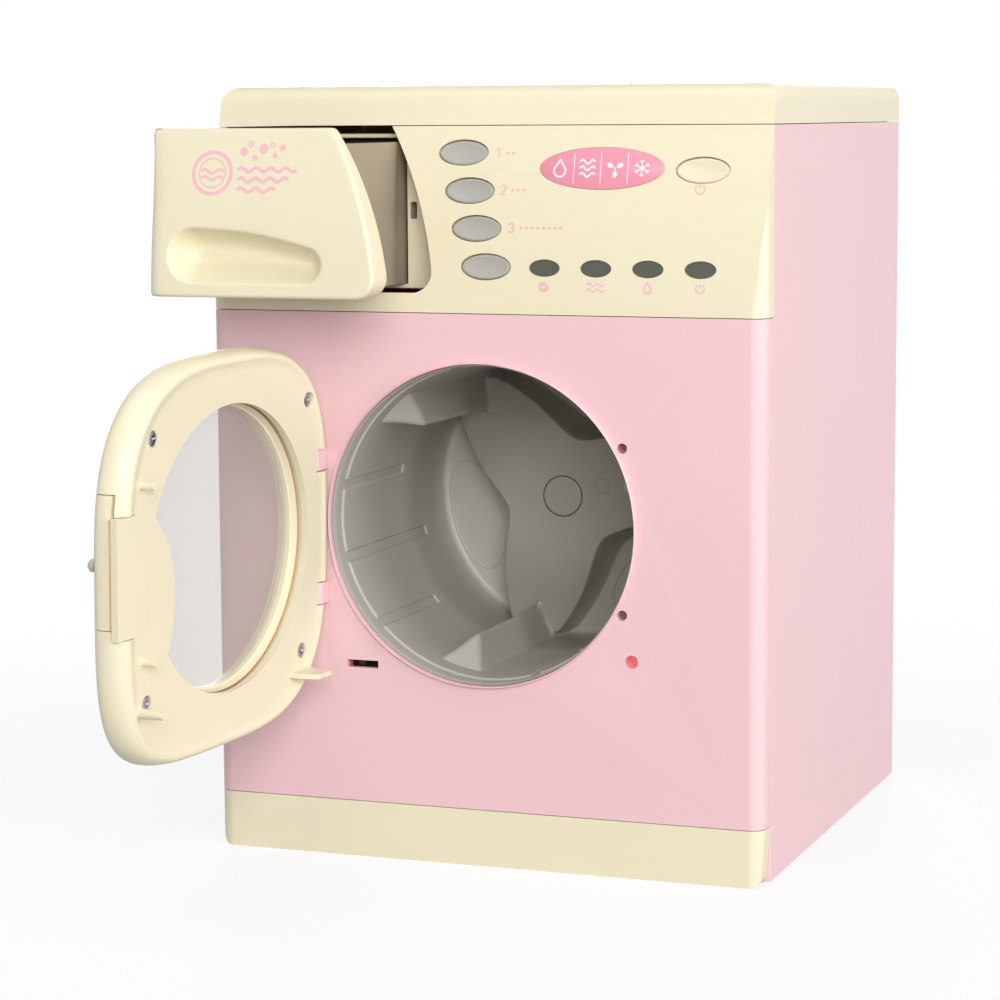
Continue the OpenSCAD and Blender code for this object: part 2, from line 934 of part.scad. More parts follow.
module bracket_screws() {
  color(steel)
    translate([0, back_y - screw_sink, 0])
      leg_places()
        screw(length = leg_screw_len, head_r = 3, head_t = 1.3, r = leg_screw_r);
}

// Drawer: moulded front with a finger hollow, and a grey tray

tray_x0 = 4.5 - side_x;
tray_x1 = 73.2 - side_x;
tray_z0 = cut_z0 + 2.6;
tray_z1 = lid_z - 6.2;
tray_y0 = front_y + 13;
bay_gap = 0.3;
bay_y0 = front_y + 16;
bay_len = tray_len + 4;
bay_flange_w = 17.6;
notch_z = fascia_z + 33.8;
notch_w = 4.1;
notch_h = 6.2;
grip_left = [18.8 - side_x, fascia_z + 22.7];
grip_left_r = 9.4;
grip_right = [62.3 - side_x, fascia_z + 19.5];
grip_right_r = 6.2;
grip_deep = 8;
drawer_fit = 0.6;
skirt_t = 1.8;

module grip_outline(grow) {
  a = 90 + 2 * atan((grip_right[1] - grip_left[1]) / (grip_right[0] - grip_left[0]));
  polygon(concat(
    arc(grip_left[0], grip_left[1], grip_left_r + grow, a, 270, 12),
    arc(grip_right[0], grip_right[1], grip_right_r + grow, -90, a, 12)));
}

module drawer_front() {
  color(cream)
    translate([0, -drawer_out, 0]) {
      difference() {
        intersection() {
          union() {
            difference() {
              envelope(0, cut_z0, lid_z - drawer_fit);
              envelope(wall, 0, far);
            }
            // Skirt along the curved edge and along the bottom and the top
            difference() {
              envelope(0, cut_z0, lid_z - drawer_fit);
              facing(far / 2)
                linear_extrude(far)
                  drawer_outline(drawer_fit + skirt_t, lid_z - drawer_fit - skirt_t);
            }
            // Back of the finger hollow and bosses for the tray's screws
            intersection() {
              envelope(1, cut_z0, lid_z);
              union() {
                facing(tray_y0 - 0.1)
                  linear_extrude(20)
                    grip_outline(skirt_t);
                tray_screw_places(tray_y0 - 0.1)
                  cylinder(h = 12, r = 3.4, $fn = 32);
              }
            }
          }
          facing(far / 2)
            linear_extrude(far)
              drawer_outline(drawer_fit, lid_z - drawer_fit);
          before(tray_y0 - 0.1);
        }
        tray_screw_places(tray_y0)
          cylinder(h = 5, r = tray_screw_r, $fn = 24);
        // The side of the skirt ends in front of the rear shell
        translate([-side_x - 1, split_y, -1])
          cube([wall + 1 + 2 * inside_fit, 50, far]);
        facing(front_y + grip_deep + 1)
          linear_extrude(30)
            grip_outline(0);
      }
    }
}

module drawer_tray() {
  w = tray_x1 - tray_x0;
  h = tray_z1 - tray_z0;
  color(pale_grey)
    translate([tray_x0, tray_y0 - drawer_out, tray_z0])
      difference() {
        cube([w, tray_len, h]);
        translate([tray_wall, tray_wall, tray_wall])
          cube([w - 2 * tray_wall, tray_len - 2 * tray_wall, h]);
        translate([-tray_x0, -tray_y0, -tray_z0])
          tray_screw_places(tray_y0 + 5)
            cylinder(h = 10, r = tray_screw_r + 0.2, $fn = 24);
      }
}

// Screws that hold the tray on the drawer front, at a given depth, growing to the front
tray_screw_r = 1.3;
tray_screw_in = 10;
tray_screw_drop = 8;
module tray_screw_places(y) {
  for (x = [tray_x0 + tray_screw_in, tray_x1 - tray_screw_in])
    translate([x, y, tray_z1 - tray_screw_drop])
      rotate([90, 0, 0])
        children();
}

module drawer_screws() {
  color(steel)
    translate([0, -drawer_out, 0])
      tray_screw_places(tray_y0 + tray_wall)
        screw(length = 5.5, head_r = 2.6, head_t = 1.4, r = tray_screw_r);
}

module drawer_bay() {
  x0 = tray_x0 - bay_gap;
  x1 = tray_x1 + bay_gap + 0.3;
  z0 = tray_z0 - bay_gap;
  z1 = tray_z1 + 1.5;
  t = tray_wall;
  color(cream) {
    difference() {
      translate([x0 - t + 0.1, bay_y0, z0 - t])
        cube([x1 - x0 + 2 * t - 0.1, bay_len, z1 - z0 + 2 * t]);
      translate([x0, bay_y0 - 1, z0])
        cube([x1 - x0, bay_len + 1 - t, z1 - z0]);
    }
    // Front flange beside the tray, with the notch of its catch
    difference() {
      translate([x1, bay_y0, z0 - t])
        cube([bay_flange_w, t, z1 - z0 + 2 * t]);
      translate([x1 - 1, bay_y0 - 1, notch_z])
        cube([notch_w + 1, t + 2, notch_h]);
    }
  }
}

// Door, drawn closed and then swung open

door_x = 1.25;
door_z = drum_z - 1;
door_y = front_y - door_gap;
edge_power = [2.6, 3.3, 3.1, 3.8];
edge_beyond = 4.6;
window_x = -2;
window_z = drum_z - 0.2;
window_r = 52;
glass_r = window_r + 3;
glass_d0 = 4.6;
glass_t = 2;
dome_h = 7;
inner_t = 2.6;
rim_in = 9;
band_x = 60;
band_z0 = drum_z - 17.5;
band_z1 = drum_z + 28.5;
band_fit = 0.35;
handle_d0 = inner_t + handle_travel + 0.5;
tongue_x1 = 70;
tongue_z0 = drum_z - 21;
tongue_z1 = drum_z + 21;
// Place of each door screw, its height from the drum axis
door_screw_from = [[-54.5, 47], [47.8, 45.5], [-49.8, -46.5], [53.2, -45.5]];
door_screw_at = [for (d = door_screw_from) [d[0], d[1] + drum_z]];

function signed_pow(v, p) = (v < 0 ? -1 : 1) * pow(abs(v), p);
function door_quarter(a) = a < 90 ? 0 : a < 180 ? 1 : a < 270 ? 2 : 3;

// Outline of the door; its corners are rounder at the top right than at the bottom right
module door_outline(free_inset, inset) {
  w = door_half_w - (free_inset + inset) / 2;
  h = door_half_h - inset;
  polygon([for (a = [2:4:358]) let (p = 2 / edge_power[door_quarter(a)])
    [door_x - (free_inset - inset) / 2 + w * signed_pow(cos(a), p), door_z + h * signed_pow(sin(a), p)]]);
}

// Outline of the inner frame, with a lobe that carries the catch peg
module inner_outline(fit) {
  door_outline(rim_in + 2.1 - fit, 5.7 - fit);
  translate([catch_x, catch_z])
    circle(r = 3.6 + fit, $fn = 32);
}

// Slab of the door between two depths below its inner face
module door_slab(d0, d1) {
  translate([0, -d0, 0])
    facing(door_y)
      linear_extrude(d1 - d0)
        children();
}

// Pillow-shaped body of the door, drawn smaller by inset
module door_body(inset) {
  hull() {
    door_slab(inset, inset + tiny)
      door_outline(rim_in + 1 + inset, 4.5 + inset);
    door_slab(3.6, 3.7)
      door_outline(2 + inset, 1 + inset);
    door_slab(7, 7.1)
      door_outline(inset, inset);
    door_slab(door_t - 3.4 - inset / 2, door_t - 3.3 - inset / 2)
      door_outline(1.4 + inset, 1.4 + inset);
    door_slab(door_t - inset - tiny, door_t - inset)
      door_outline(7 + inset, 7 + inset);
  }
}

// Everything that the hinge side of the door has to leave free
module hinge_cut() {
  difference() {
    translate([hinge_x - 30, front_y - 40, door_z - 90])
      cube([30, 60, 180]);
    hinge_frame()
      translate([0, 0, -100])
        cylinder(h = 200, r = edge_beyond, $fn = 64);
  }
  for (dz = lug_dz) {
    hinge_frame()
      translate([0, 0, dz - lug_h / 2 - 0.4])
        cylinder(h = lug_h + 0.8, r = lug_r + 0.4, $fn = 40);
    hinge_frame()
      translate([-20, -0.01, dz - lug_h / 2 - 0.4])
        cube([20 + lug_r + 0.4, 20, lug_h + 0.8]);
    hinge_frame()
      translate([-20, -lug_r - 0.8, dz - lug_h / 2 - 0.4])
        cube([20, 20, lug_h + 0.8]);
    hinge_frame()
      translate([0, 0, dz - lug_h / 2 - 5.2])
        cylinder(h = lug_h + 10.4, r = pin_d / 2, $fn = 32);
  }
}

// Room of the handle, larger by fit at its ends and by free towards the tongue
module handle_space(fit, free) {
  translate([band_x - fit, door_y - door_t - 5, band_z0 - fit])
    cube([40, door_t + 5 - handle_d0 + free, band_z1 - band_z0 + 2 * fit]);
}

module door_outer_frame() {
  color(cream)
    open_door()
      difference() {
        door_body(0);
        // Seat of the inner frame
        door_slab(-1, inner_t + 0.1)
          inner_outline(0.3);
        // Hollow behind it
        difference() {
          door_slab(inner_t, door_t - 2.4)
            door_outline(rim_in + 2, 8);
          // Posts that take the screws and the ring that seats the window
          for (p = door_screw_at)
            door_slab(inner_t + 0.1, door_t)
              translate(p)
                circle(r = 3.6, $fn = 32);
          door_slab(glass_d0 + glass_t + 0.1, door_t)
            translate([window_x, window_z])
              circle(r = glass_r + 2.5, $fn = 96);
          hinge_frame()
            translate([0, 0, -100])
              cylinder(h = 200, r = edge_beyond, $fn = 64);
          door_slab(inner_t + 0.1, door_t)
            translate([hinge_x - 8, door_z - 60])
              square([8 + lug_r + 2, 120]);
          door_slab(inner_t + 0.1, door_t)
            translate([band_x - 2.4, band_z0 - 2.4])
              square([20, band_z1 - band_z0 + 4.8]);
        }
        door_slab(-1, door_t + 1)
          translate([window_x, window_z])
            circle(r = window_r - 1.5, $fn = 128);
        door_slab(-1, inner_t + 0.2)
          translate([tongue_x1 - 15, tongue_z0 - 0.3])
            square([30, tongue_z1 - tongue_z0 + 0.6]);
        handle_space(band_fit, handle_travel + 0.4);
        for (p = door_screw_at)
          door_slab(inner_t, 11)
            translate(p)
              circle(r = 1.15, $fn = 24);
        hinge_cut();
      }
}

// Edge of the finger pad that bulges into the window
pad_x = 58;
pad_z = drum_z - 10.5;
pad_w = 46;
pad_h = 66;

module door_inner_frame() {
  color(cream)
    open_door() {
      difference() {
        union() {
          door_slab(0, inner_t)
            inner_outline(0);
          door_slab(0, inner_t)
            translate([band_x - 6, tongue_z0])
              square([tongue_x1 - band_x + 6, tongue_z1 - tongue_z0]);
          // Ring that presses the window home
          door_slab(inner_t - tiny, glass_d0)
            difference() {
              translate([window_x, window_z])
                circle(r = glass_r, $fn = 96);
              translate([window_x, window_z])
                circle(r = glass_r - 2.2, $fn = 96);
            }
        }
        difference() {
          door_slab(-1, inner_t + 1)
            translate([window_x, window_z])
              circle(r = window_r, $fn = 128);
          door_slab(-2, inner_t)
            translate([pad_x, pad_z])
              oval(pad_w, pad_h);
        }
        for (p = door_screw_at) {
          door_slab(-1, inner_t + 1)
            translate(p)
              circle(r = 1.6, $fn = 24);
          door_slab(-1, 1.2)
            translate(p)
              circle(r = 2.9, $fn = 24);
        }
        hinge_cut();
      }
      for (s = [-1, 1])
        translate([peg_x, door_y - 0.5, drum_z + s * peg_dz])
          rotate([-90, 0, 0])
            cylinder(h = 6.2, r1 = 1.45, r2 = 1.2, $fn = 32);
      translate([catch_x, door_y - 0.5, catch_z])
        rotate([-90, 0, 0])
          cylinder(h = 11.3, r1 = 1.95, r2 = 1.3, $fn = 32);
      // Fin that works the door switch; its outer edge follows the swing
      difference() {
        intersection() {
          translate([slot_x0 + 0.7, door_y - 0.5, slot_z - 0.9])
            cube([slot_x1 - slot_x0, 11.3, 1.8]);
          hinge_frame()
            translate([0, 0, -100])
              cylinder(h = 200, r = slot_x1 - hinge_x + 0.2, $fn = 96);
        }
        // Clear of the roll beside the plate
        door_slab(-0.3, 1)
          difference() {
            translate([slot_x0 - 5, slot_z - 5])
              square([20, 10]);
            inner_outline(0);
          }
      }
    }
}

module door_window() {
  r = glass_r - 0.3;
  dome_r = (44 * 44 + dome_h * dome_h) / (2 * dome_h);
  color([0.82, 0.84, 0.84, 0.45])
    open_door()
      translate([window_x, door_y - glass_d0, window_z])
        rotate([90, 0, 0]) {
          difference() {
            union() {
              cylinder(h = glass_t, r = r, $fn = 96);
              cylinder(h = glass_t + 2.4, r = window_r - 1.9, $fn = 96);
            }
            translate([0, 0, -1])
              cylinder(h = glass_t + 5, r = 44, $fn = 96);
          }
          rotate_extrude($fn = 96)
            difference() {
              translate([0, glass_t - dome_r + dome_h])
                circle(r = dome_r, $fn = 180);
              translate([0, -dome_r + dome_h])
                circle(r = dome_r, $fn = 180);
              translate([-far, -far])
                square([far, 2 * far]);
              translate([44.02, -far])
                square([far, 2 * far]);
              translate([-1, -far])
                square([far, far]);
            }
        }
}

module door_handle() {
  color(cream)
    open_door()
      difference() {
        intersection() {
          door_body(0);
          handle_space(0, 0);
        }
        // Lightened from the inside
        translate([band_x + 2.4, door_y - door_t + 2.6, band_z0 + 2.4])
          cube([4.6, door_t - 2.6 - handle_d0 + 1, band_z1 - band_z0 - 4.8]);
        door_slab(door_t - 2.2, door_t + 2)
          translate([cap_x, cap_z])
            circle(r = cap_r, $fn = 32);
      }
}

cap_x = 65;
cap_z = drum_z + 3.5;
cap_r = 2.3;

module handle_cap() {
  color(grey)
    open_door()
      difference() {
        union() {
          door_slab(door_t - 2.2, door_t - 0.4)
            translate([cap_x, cap_z])
              circle(r = cap_r, $fn = 32);
          translate([cap_x, door_y - door_t + 1.2, cap_z])
            sphere(r = cap_r, $fn = 32);
        }
        door_slab(0, door_t - 2.2)
          translate([cap_x - 5, cap_z - 5])
            square([10, 10]);
      }
}

module hinge_pins() {
  color(steel)
    for (dz = lug_dz)
      hinge_frame()
        translate([0, 0, dz - lug_h / 2 - 5])
          cylinder(h = lug_h + 10, r = pin_d / 2, $fn = 32);
}

module door_screws() {
  color(steel)
    open_door()
      for (p = door_screw_at)
        translate([p[0], door_y - 1.2, p[1]])
          rotate([90, 0, 0]) {
            translate([0, 0, -1])
              cylinder(h = 1, r = 2.7, $fn = 24);
            cylinder(h = 9, r = 1.15, $fn = 24);
          }
}

// Door switch behind the slot

switch_x = -49.3;
plunger_w = 2.6;
plunger_h = 2.2;
plunger_y = front_y + 3.4;
plunger_len = 12;
switch_y = front_y + 10.6;
switch_w = 14;
switch_deep = 12;
holder_t = 1.6;

module switch_plunger() {
  color(black)
    translate([switch_x - plunger_w / 2, plunger_y, slot_z - plunger_h / 2])
      cube([plunger_w, plunger_len, plunger_h]);
}

module door_switch() {
  color(black)
    difference() {
      translate([switch_x - switch_w / 2, switch_y, slot_z - switch_w / 2 + 1])
        cube([switch_w, switch_deep, switch_w - 2]);
      translate([switch_x - plunger_w / 2 - 0.3, switch_y - 1, slot_z - plunger_h / 2 - 0.3])
        cube([plunger_w + 0.6, switch_deep - 0.5, plunger_h + 0.6]);
    }
}

// Battery compartment in the back: four cells side by side, their ends taking turns

cell_r = 7.1;
cell_len = 50.3;
cell_nub = 1;
cell_pitch = 15.4;
contact_t = 0.5;
spring_len = 4;
spring_wire = 0.6;
box_t = 1.8;
cell_fit = 0.3;
box_in_w = cell_len + spring_len + 2 * contact_t + 0.1;
box_in_h = 3 * cell_pitch + 2 * cell_r + 2 * cell_fit;
box_w = box_in_w + 2 * box_t;
box_h = box_in_h + 2 * box_t;
box_depth = 19;
box_y1 = back_y - wall;
box_y0 = box_y1 - box_depth;
cell_y = box_y0 + box_t + cell_r + cell_fit;
bat_open_w = box_w + 8;
bat_open_h = box_h + 4;
bat_screw_x = bat_x + box_w / 2 + 1.2;
bat_screw_r = 1.2;
bat_fit = 0.4;
screw_head_t = 1.3;

module battery_box() {
  color(black)
    difference() {
      union() {
        translate([bat_x - box_w / 2, box_y0, bat_z - box_h / 2])
          cube([box_w, box_depth, box_h]);
        translate([bat_x - box_w / 2 - 6, box_y1 - 1.6, bat_z - box_h / 2 - 4])
          cube([box_w + 12, 1.6, box_h + 8]);
        translate([bat_x + box_w / 2 - 1, box_y1 - 10, bat_z - 4])
          cube([6, 10, 8]);
      }
      translate([bat_x - box_in_w / 2, box_y0 + box_t, bat_z - box_in_h / 2])
        cube([box_in_w, box_depth, box_in_h]);
      translate([bat_screw_x, box_y1 + 1, bat_z])
        rotate([90, 0, 0])
          cylinder(h = 10, r = bat_screw_r + 0.05, $fn = 24);
    }
}

// Places a cell's parts at its base; Z runs from its base to its nub
module cell_places() {
  for (i = [0:3])
    translate([bat_x, cell_y, bat_z + (i - 1.5) * cell_pitch])
      rotate([0, i % 2 == 0 ? 90 : -90, 0])
        translate([0, 0, -box_in_w / 2 + contact_t])
          children();
}

module battery_cells() {
  color("#c8873a")
    cell_places()
      translate([0, 0, spring_len + 0.05]) {
        cylinder(h = cell_len - cell_nub, r = cell_r, $fn = 48);
        cylinder(h = cell_len, r = 2.7, $fn = 32);
      }
}

// A plate at the nub of each cell, and a plate with a coil spring at its base
module battery_contacts() {
  turns = 4;
  color(steel)
    cell_places() {
      translate([-5, -5, box_in_w - 2 * contact_t])
        cube([10, 10, contact_t]);
      translate([-5, -5, -contact_t])
        cube([10, 10, contact_t]);
      rotate_extrude($fn = 32)
        for (k = [0:turns - 1])
          translate([4.2 - 0.4 * k, spring_wire * 0.8 + k * (spring_len - spring_wire * 1.8) / (turns - 1)])
            circle(r = spring_wire, $fn = 16);
    }
}

module battery_door() {
  w = bat_open_w - 2 * bat_fit;
  h = bat_open_h - 2 * bat_fit;
  t = wall - 0.2;
  color(pink)
    difference() {
      translate([bat_x - w / 2, back_y - t, bat_z - h / 2])
        cube([w, t, h]);
      translate([bat_screw_x, back_y + 1, bat_z])
        rotate([90, 0, 0]) {
          cylinder(h = 10, r = bat_screw_r + 0.2, $fn = 24);
          cylinder(h = 1 + screw_head_t, r = 2.4, $fn = 24);
        }
      // Grip ribs
      for (i = [-3:3])
        translate([bat_x - 12, back_y - 0.6, bat_z + h / 2 - 12 + i * 2])
          cube([24, 1, 1]);
    }
}

module battery_screw() {
  color(steel)
    translate([bat_screw_x, back_y - screw_head_t, bat_z])
      rotate([90, 0, 0])
        screw(length = 8, head_r = 2.2, head_t = screw_head_t, r = bat_screw_r);
}

rear_shell();
front_panel();
control_fascia();
top_lid();
base_plinth();
base_plate();
drawer_bay();
drum();
drum_shaft();
shaft_bush();
shaft_clip();
drive_gear();
motor_pinion();
motor_shaft();
drive_motor();
drive_bracket();
bracket_screws();
drawer_front();
drawer_tray();
drawer_screws();
door_outer_frame();
door_inner_frame();
door_window();
door_handle();
handle_cap();
hinge_pins();
door_screws();
program_button_1();
program_button_2();
program_button_3();
program_button_4();
power_button();
button_switches();
control_board();
indicator_lenses();
indicator_leds();
display_label();
door_switch();
switch_plunger();
battery_box();
battery_cells();
battery_contacts();
battery_door();
battery_screw();
base_screws();
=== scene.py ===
import bpy
import bmesh
import json
from math import asin, atan, atan2, copysign, cos, hypot, pi, radians, sin, sqrt, tau
from mathutils import Matrix, Vector

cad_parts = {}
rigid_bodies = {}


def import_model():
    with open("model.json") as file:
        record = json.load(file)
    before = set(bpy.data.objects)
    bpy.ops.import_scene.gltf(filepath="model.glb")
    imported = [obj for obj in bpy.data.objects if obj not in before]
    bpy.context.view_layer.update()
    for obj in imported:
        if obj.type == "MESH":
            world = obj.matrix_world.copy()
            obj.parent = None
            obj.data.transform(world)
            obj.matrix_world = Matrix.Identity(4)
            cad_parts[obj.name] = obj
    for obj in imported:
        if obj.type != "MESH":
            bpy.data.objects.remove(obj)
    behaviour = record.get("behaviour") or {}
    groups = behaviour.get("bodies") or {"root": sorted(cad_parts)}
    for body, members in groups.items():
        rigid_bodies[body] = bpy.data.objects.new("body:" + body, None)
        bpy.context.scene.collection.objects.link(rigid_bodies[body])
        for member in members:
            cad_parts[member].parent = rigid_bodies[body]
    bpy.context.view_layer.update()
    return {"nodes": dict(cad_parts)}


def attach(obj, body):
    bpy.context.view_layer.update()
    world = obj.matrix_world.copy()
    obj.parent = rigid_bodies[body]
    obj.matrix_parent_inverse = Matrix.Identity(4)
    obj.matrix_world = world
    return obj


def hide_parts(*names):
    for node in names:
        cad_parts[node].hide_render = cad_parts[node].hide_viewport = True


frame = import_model()
nodes = frame["nodes"]

mm = 0.001
scene = bpy.context.scene
cabinet = {"width": 217, "frontY": -104, "fasciaZ": 207, "lidZ": 275.5, "leanR": 240, "drumZ": 128.5, "edgeR": 6}
frontY, drumZ, leftX = cabinet["frontY"], cabinet["drumZ"], -cabinet["width"] / 2


# Shader maths
class Value:  # one output socket, with Python's operators
    def __init__(self, paint, socket):
        self.paint = paint
        self.socket = socket

    def maths(self, operation, first, second=0.0):
        return self.paint.node("Math", {"operation": operation}, {0: first, 1: second})

    def __add__(self, other):
        return self.maths("ADD", self, other)

    def __radd__(self, other):
        return self.maths("ADD", other, self)

    def __sub__(self, other):
        return self.maths("SUBTRACT", self, other)

    def __rsub__(self, other):
        return self.maths("SUBTRACT", other, self)

    def __mul__(self, other):
        return self.maths("MULTIPLY", self, other)

    def above(self, edge, soft):  # 0 below the edge, 1 above it
        return self.paint.node("MapRange", {"interpolation_type": "SMOOTHSTEP"},
                               {"Value": self, "From Min": edge - soft, "From Max": edge + soft})


class Paint:  # the node tree of a material or of the world
    def __init__(self, owner, shader="Principled BSDF"):
        owner.use_nodes = True
        self.owner = owner
        self.tree = owner.node_tree
        self.shader = self.tree.nodes[shader]

    def node(self, kind, settings=None, values=None, output=0):
        made = self.tree.nodes.new("ShaderNode" + kind)
        for key, value in (settings or {}).items():
            setattr(made, key, value)
        for key, value in (values or {}).items():
            self.feed(made.inputs[key], value)
        return Value(self, made.outputs[output])

    def feed(self, target, value):
        if isinstance(value, Value):
            self.tree.links.new(value.socket, target)
        elif value is not None:
            target.default_value = value

    def spot(self):
        return self.node("TexCoord", output="Object")

    def axes(self):  # the place as three values
        outputs = self.node("SeparateXYZ", None, {0: self.spot()}).socket.node.outputs
        return [Value(self, output) for output in outputs]

    def noise(self, scale, detail=3.0, rough=0.5, stretch=(1, 1, 1)):
        place = self.node("Mapping", None, {"Vector": self.spot(), "Scale": stretch})
        return self.node("TexNoise", None, {"Vector": place, "Scale": scale, "Detail": detail, "Roughness": rough})

    def mix(self, factor, first, second):
        return self.node("Mix", {"data_type": "RGBA"}, {0: factor, 6: first, 7: second}, output=2)

    def bump(self, height, strength, distance, under=None):
        return self.node("Bump", None, {"Strength": strength, "Distance": distance, "Height": height, "Normal": under})

    def seen(self):  # 1 to the camera, to gloss and to glass
        camera, gloss, glass = (self.node("LightPath", output=f"Is {ray} Ray")
                                for ray in ("Camera", "Glossy", "Transmission"))
        return camera.maths("MAXIMUM", camera.maths("MAXIMUM", camera, gloss), glass)

    def show(self, **sockets):
        for name, value in sockets.items():
            self.feed(self.shader.inputs[name], value)
        return self.owner


def linear(*levels):  # display values 0 to 255 as linear light
    return tuple((v / 255 / 12.92) if v <= 10 else ((v / 255 + 0.055) / 1.055) ** 2.4 for v in levels) + (1.0,)


def tinted(colour, factor, lift=0.0):
    return tuple(min(1.0, c * factor + lift) for c in colour[:3]) + (1.0,)


# The cabinet's inside in metres, each face with how softly it ends, and what every moulding shares
inside = {"front": (-0.1013, 0.0003), "back": (0.0985, 0.0005), "side": (0.1055, 0.0004), "low": (0.007, 0.001)}
skin = {"cloud": 18, "streak": (55, 55, 9), "shadow": 0.86, "worn": (1.06, 0.02), "wornAt": (0.54, 0.05), "dark": 0.5,
        "scuff": 260, "scuffAt": (0.62, 0.06), "streakRough": 0.10, "scuffRough": 0.07, "fineRough": 0.06,
        "fineDeep": 0.00006, "cloudDeep": 0.0006, "cloudBump": 0.12}


def moulded(name, colour, rough=0.36, mottle=0.035, grain=0.10, grainSize=0.35, wear=0.25, band=None, glow=None):
    paint, colour = Paint(bpy.data.materials.new(name)), linear(*colour)
    cloud = paint.noise(skin["cloud"], 2.0)
    streak = paint.noise(1, 4.0, 0.6, skin["streak"])
    shade = paint.mix(cloud * mottle * 12 - mottle * 4, colour, tinted(colour, skin["shadow"]))
    edge = paint.node("NewGeometry", output="Pointiness").above(*skin["wornAt"])
    shade = paint.mix(edge * wear, shade, tinted(colour, *skin["worn"]))
    if band:  # painted shade: a darker stretch of depth, where the drum's deep inside lies in shade
        across, depth, height = paint.axes()
        within = depth.above(band["from"], band["soft"]) * (1.0 - depth.above(band["to"], band["soft"]))
        shade = paint.mix(within * band["share"], shade, tinted(colour, skin["dark"]))
    fine = paint.noise(1 / (grainSize * mm), 2.0)
    scuff = paint.noise(skin["scuff"], 5.0, 0.75).above(*skin["scuffAt"])
    smooth = (streak - 0.5) * skin["streakRough"] + scuff * skin["scuffRough"] + rough
    smooth = smooth + (fine - 0.5) * skin["fineRough"]
    relief = paint.bump(fine, grain, skin["fineDeep"])
    relief = paint.bump(cloud + streak * 0.3, skin["cloudBump"], skin["cloudDeep"], relief)
    values = {"Base Color": shade, "Roughness": smooth, "Normal": relief}
    if glow:  # light through the walls, inside the cabinet only
        across, depth, height = paint.axes()
        wide = across.maths("ABSOLUTE", across)
        within = depth.above(*inside["front"]) * (1.0 - depth.above(*inside["back"]))
        within = within * (1.0 - wide.above(*inside["side"])) * height.above(*inside["low"])
        values["Emission Color"] = paint.mix(within, (0.0, 0.0, 0.0, 1.0), linear(*glow))
        values["Emission Strength"] = 1.0
    return paint.show(**values)


def flat(name, colour, rough=0.4, metal=0.0, grainScale=2600, grain=0.06):  # simple finish for small inner parts
    paint, colour = Paint(bpy.data.materials.new(name)), linear(*colour)
    fine = paint.noise(grainScale, 3.0)
    shade = paint.mix(paint.noise(60, 2.0) * 0.5, colour, tinted(colour, 0.82))
    return paint.show(**{"Base Color": shade, "Metallic": metal, "Roughness": rough + (fine - 0.5) * 0.12,
                         "Normal": paint.bump(fine, grain, 0.00005)})


finishes = {
    "cream": moulded("cream moulding", (238, 229, 198), rough=0.34, mottle=0.03),
    "pink": moulded("pink moulding", (241, 201, 206), rough=0.38, mottle=0.04, grain=0.16, grainSize=0.30,
                    glow=(110, 30, 26)),
    # the drum's band is painted shade over its deep inside, standing in for the shade the port's rim casts there
    "drum": moulded("grey drum", (187, 183, 174), rough=0.40, mottle=0.05, grain=0.08, grainSize=0.5, wear=0.12,
                    band={"from": -0.030, "to": 0.0, "soft": 0.008, "share": 0.52}),
    "button": moulded("grey button", (180, 178, 172), rough=0.42, mottle=0.04, grain=0.12, wear=0.15),
    "tray": moulded("grey tray", (159, 146, 127), rough=0.44, mottle=0.05, grain=0.14, wear=0.15),
    "gear": moulded("gear plastic", (226, 222, 208), rough=0.45, mottle=0.04),
    "black": moulded("black plastic", (24, 24, 26), rough=0.48, mottle=0.05, wear=0.05),
    "lens": flat("dark lens", (92, 94, 84), 0.35, grainScale=900, grain=0.2),
    # hole: dark discs, painted shade standing in for the shaded pits of the lens's fine dot relief
    "hole": flat("lens hole", (58, 60, 50), 0.6),
    "label": flat("printed film", (247, 156, 176), 0.38, grainScale=3000),
    "print": flat("pink print", (249, 190, 200), 0.5, grainScale=4000),
    "whitePrint": flat("white print", (252, 244, 244), 0.5, grainScale=4000),
    # seam: painted glow, the warm light through the plastic at seams and slits
    "seam": flat("painted seam glow", (236, 180, 110), 0.5),
    "board": flat("circuit board", (30, 92, 58), 0.35),
    "sleeve": flat("cell sleeve", (196, 130, 52), 0.3),
    "steel": flat("bright steel", (196, 198, 202), 0.24, metal=1.0, grainScale=5200, grain=0.2),
    "brass": flat("sintered brass", (196, 156, 84), 0.38, metal=1.0, grainScale=4200, grain=0.3)}
clear = Paint(bpy.data.materials.new("clear moulding"))  # greyish clear plastic, a little of it on each face
haze = clear.noise(42, 3.0)
finishes["clear"] = clear.show(**{
    "Base Color": clear.mix(haze, linear(186, 180, 172), linear(196, 190, 182)), "Roughness": haze * 0.06 + 0.05,
    "Alpha": haze * 0.05 + 0.24, "Normal": clear.bump(clear.noise(30, 2.0), 0.10, 0.0008)})
print("materials:", len(finishes))


# Lines in millimetres
def circle(x, z, r, count=28, start=0.0, sweep=tau):  # a full circle, or an arc with both its ends
    steps = count if abs(sweep) >= tau - 1e-6 else count + 1
    return [(x + r * cos(start + sweep * i / count), z + r * sin(start + sweep * i / count)) for i in range(steps)]


def straight(first, last, steps):
    return [tuple(a + (b - a) * i / steps for a, b in zip(first, last)) for i in range(steps + 1)]


# Mesh helpers
def linked(name, data):  # a new object in the scene
    piece = bpy.data.objects.new(name, data)
    scene.collection.objects.link(piece)
    return piece


def placed(piece, finish, body, node=None):  # its finish, and what the frame is told about it
    if finish:
        piece.data.materials.clear()
        piece.data.materials.append(finishes[finish])
    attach(piece, body)
    if node:
        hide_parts(node)
    return piece


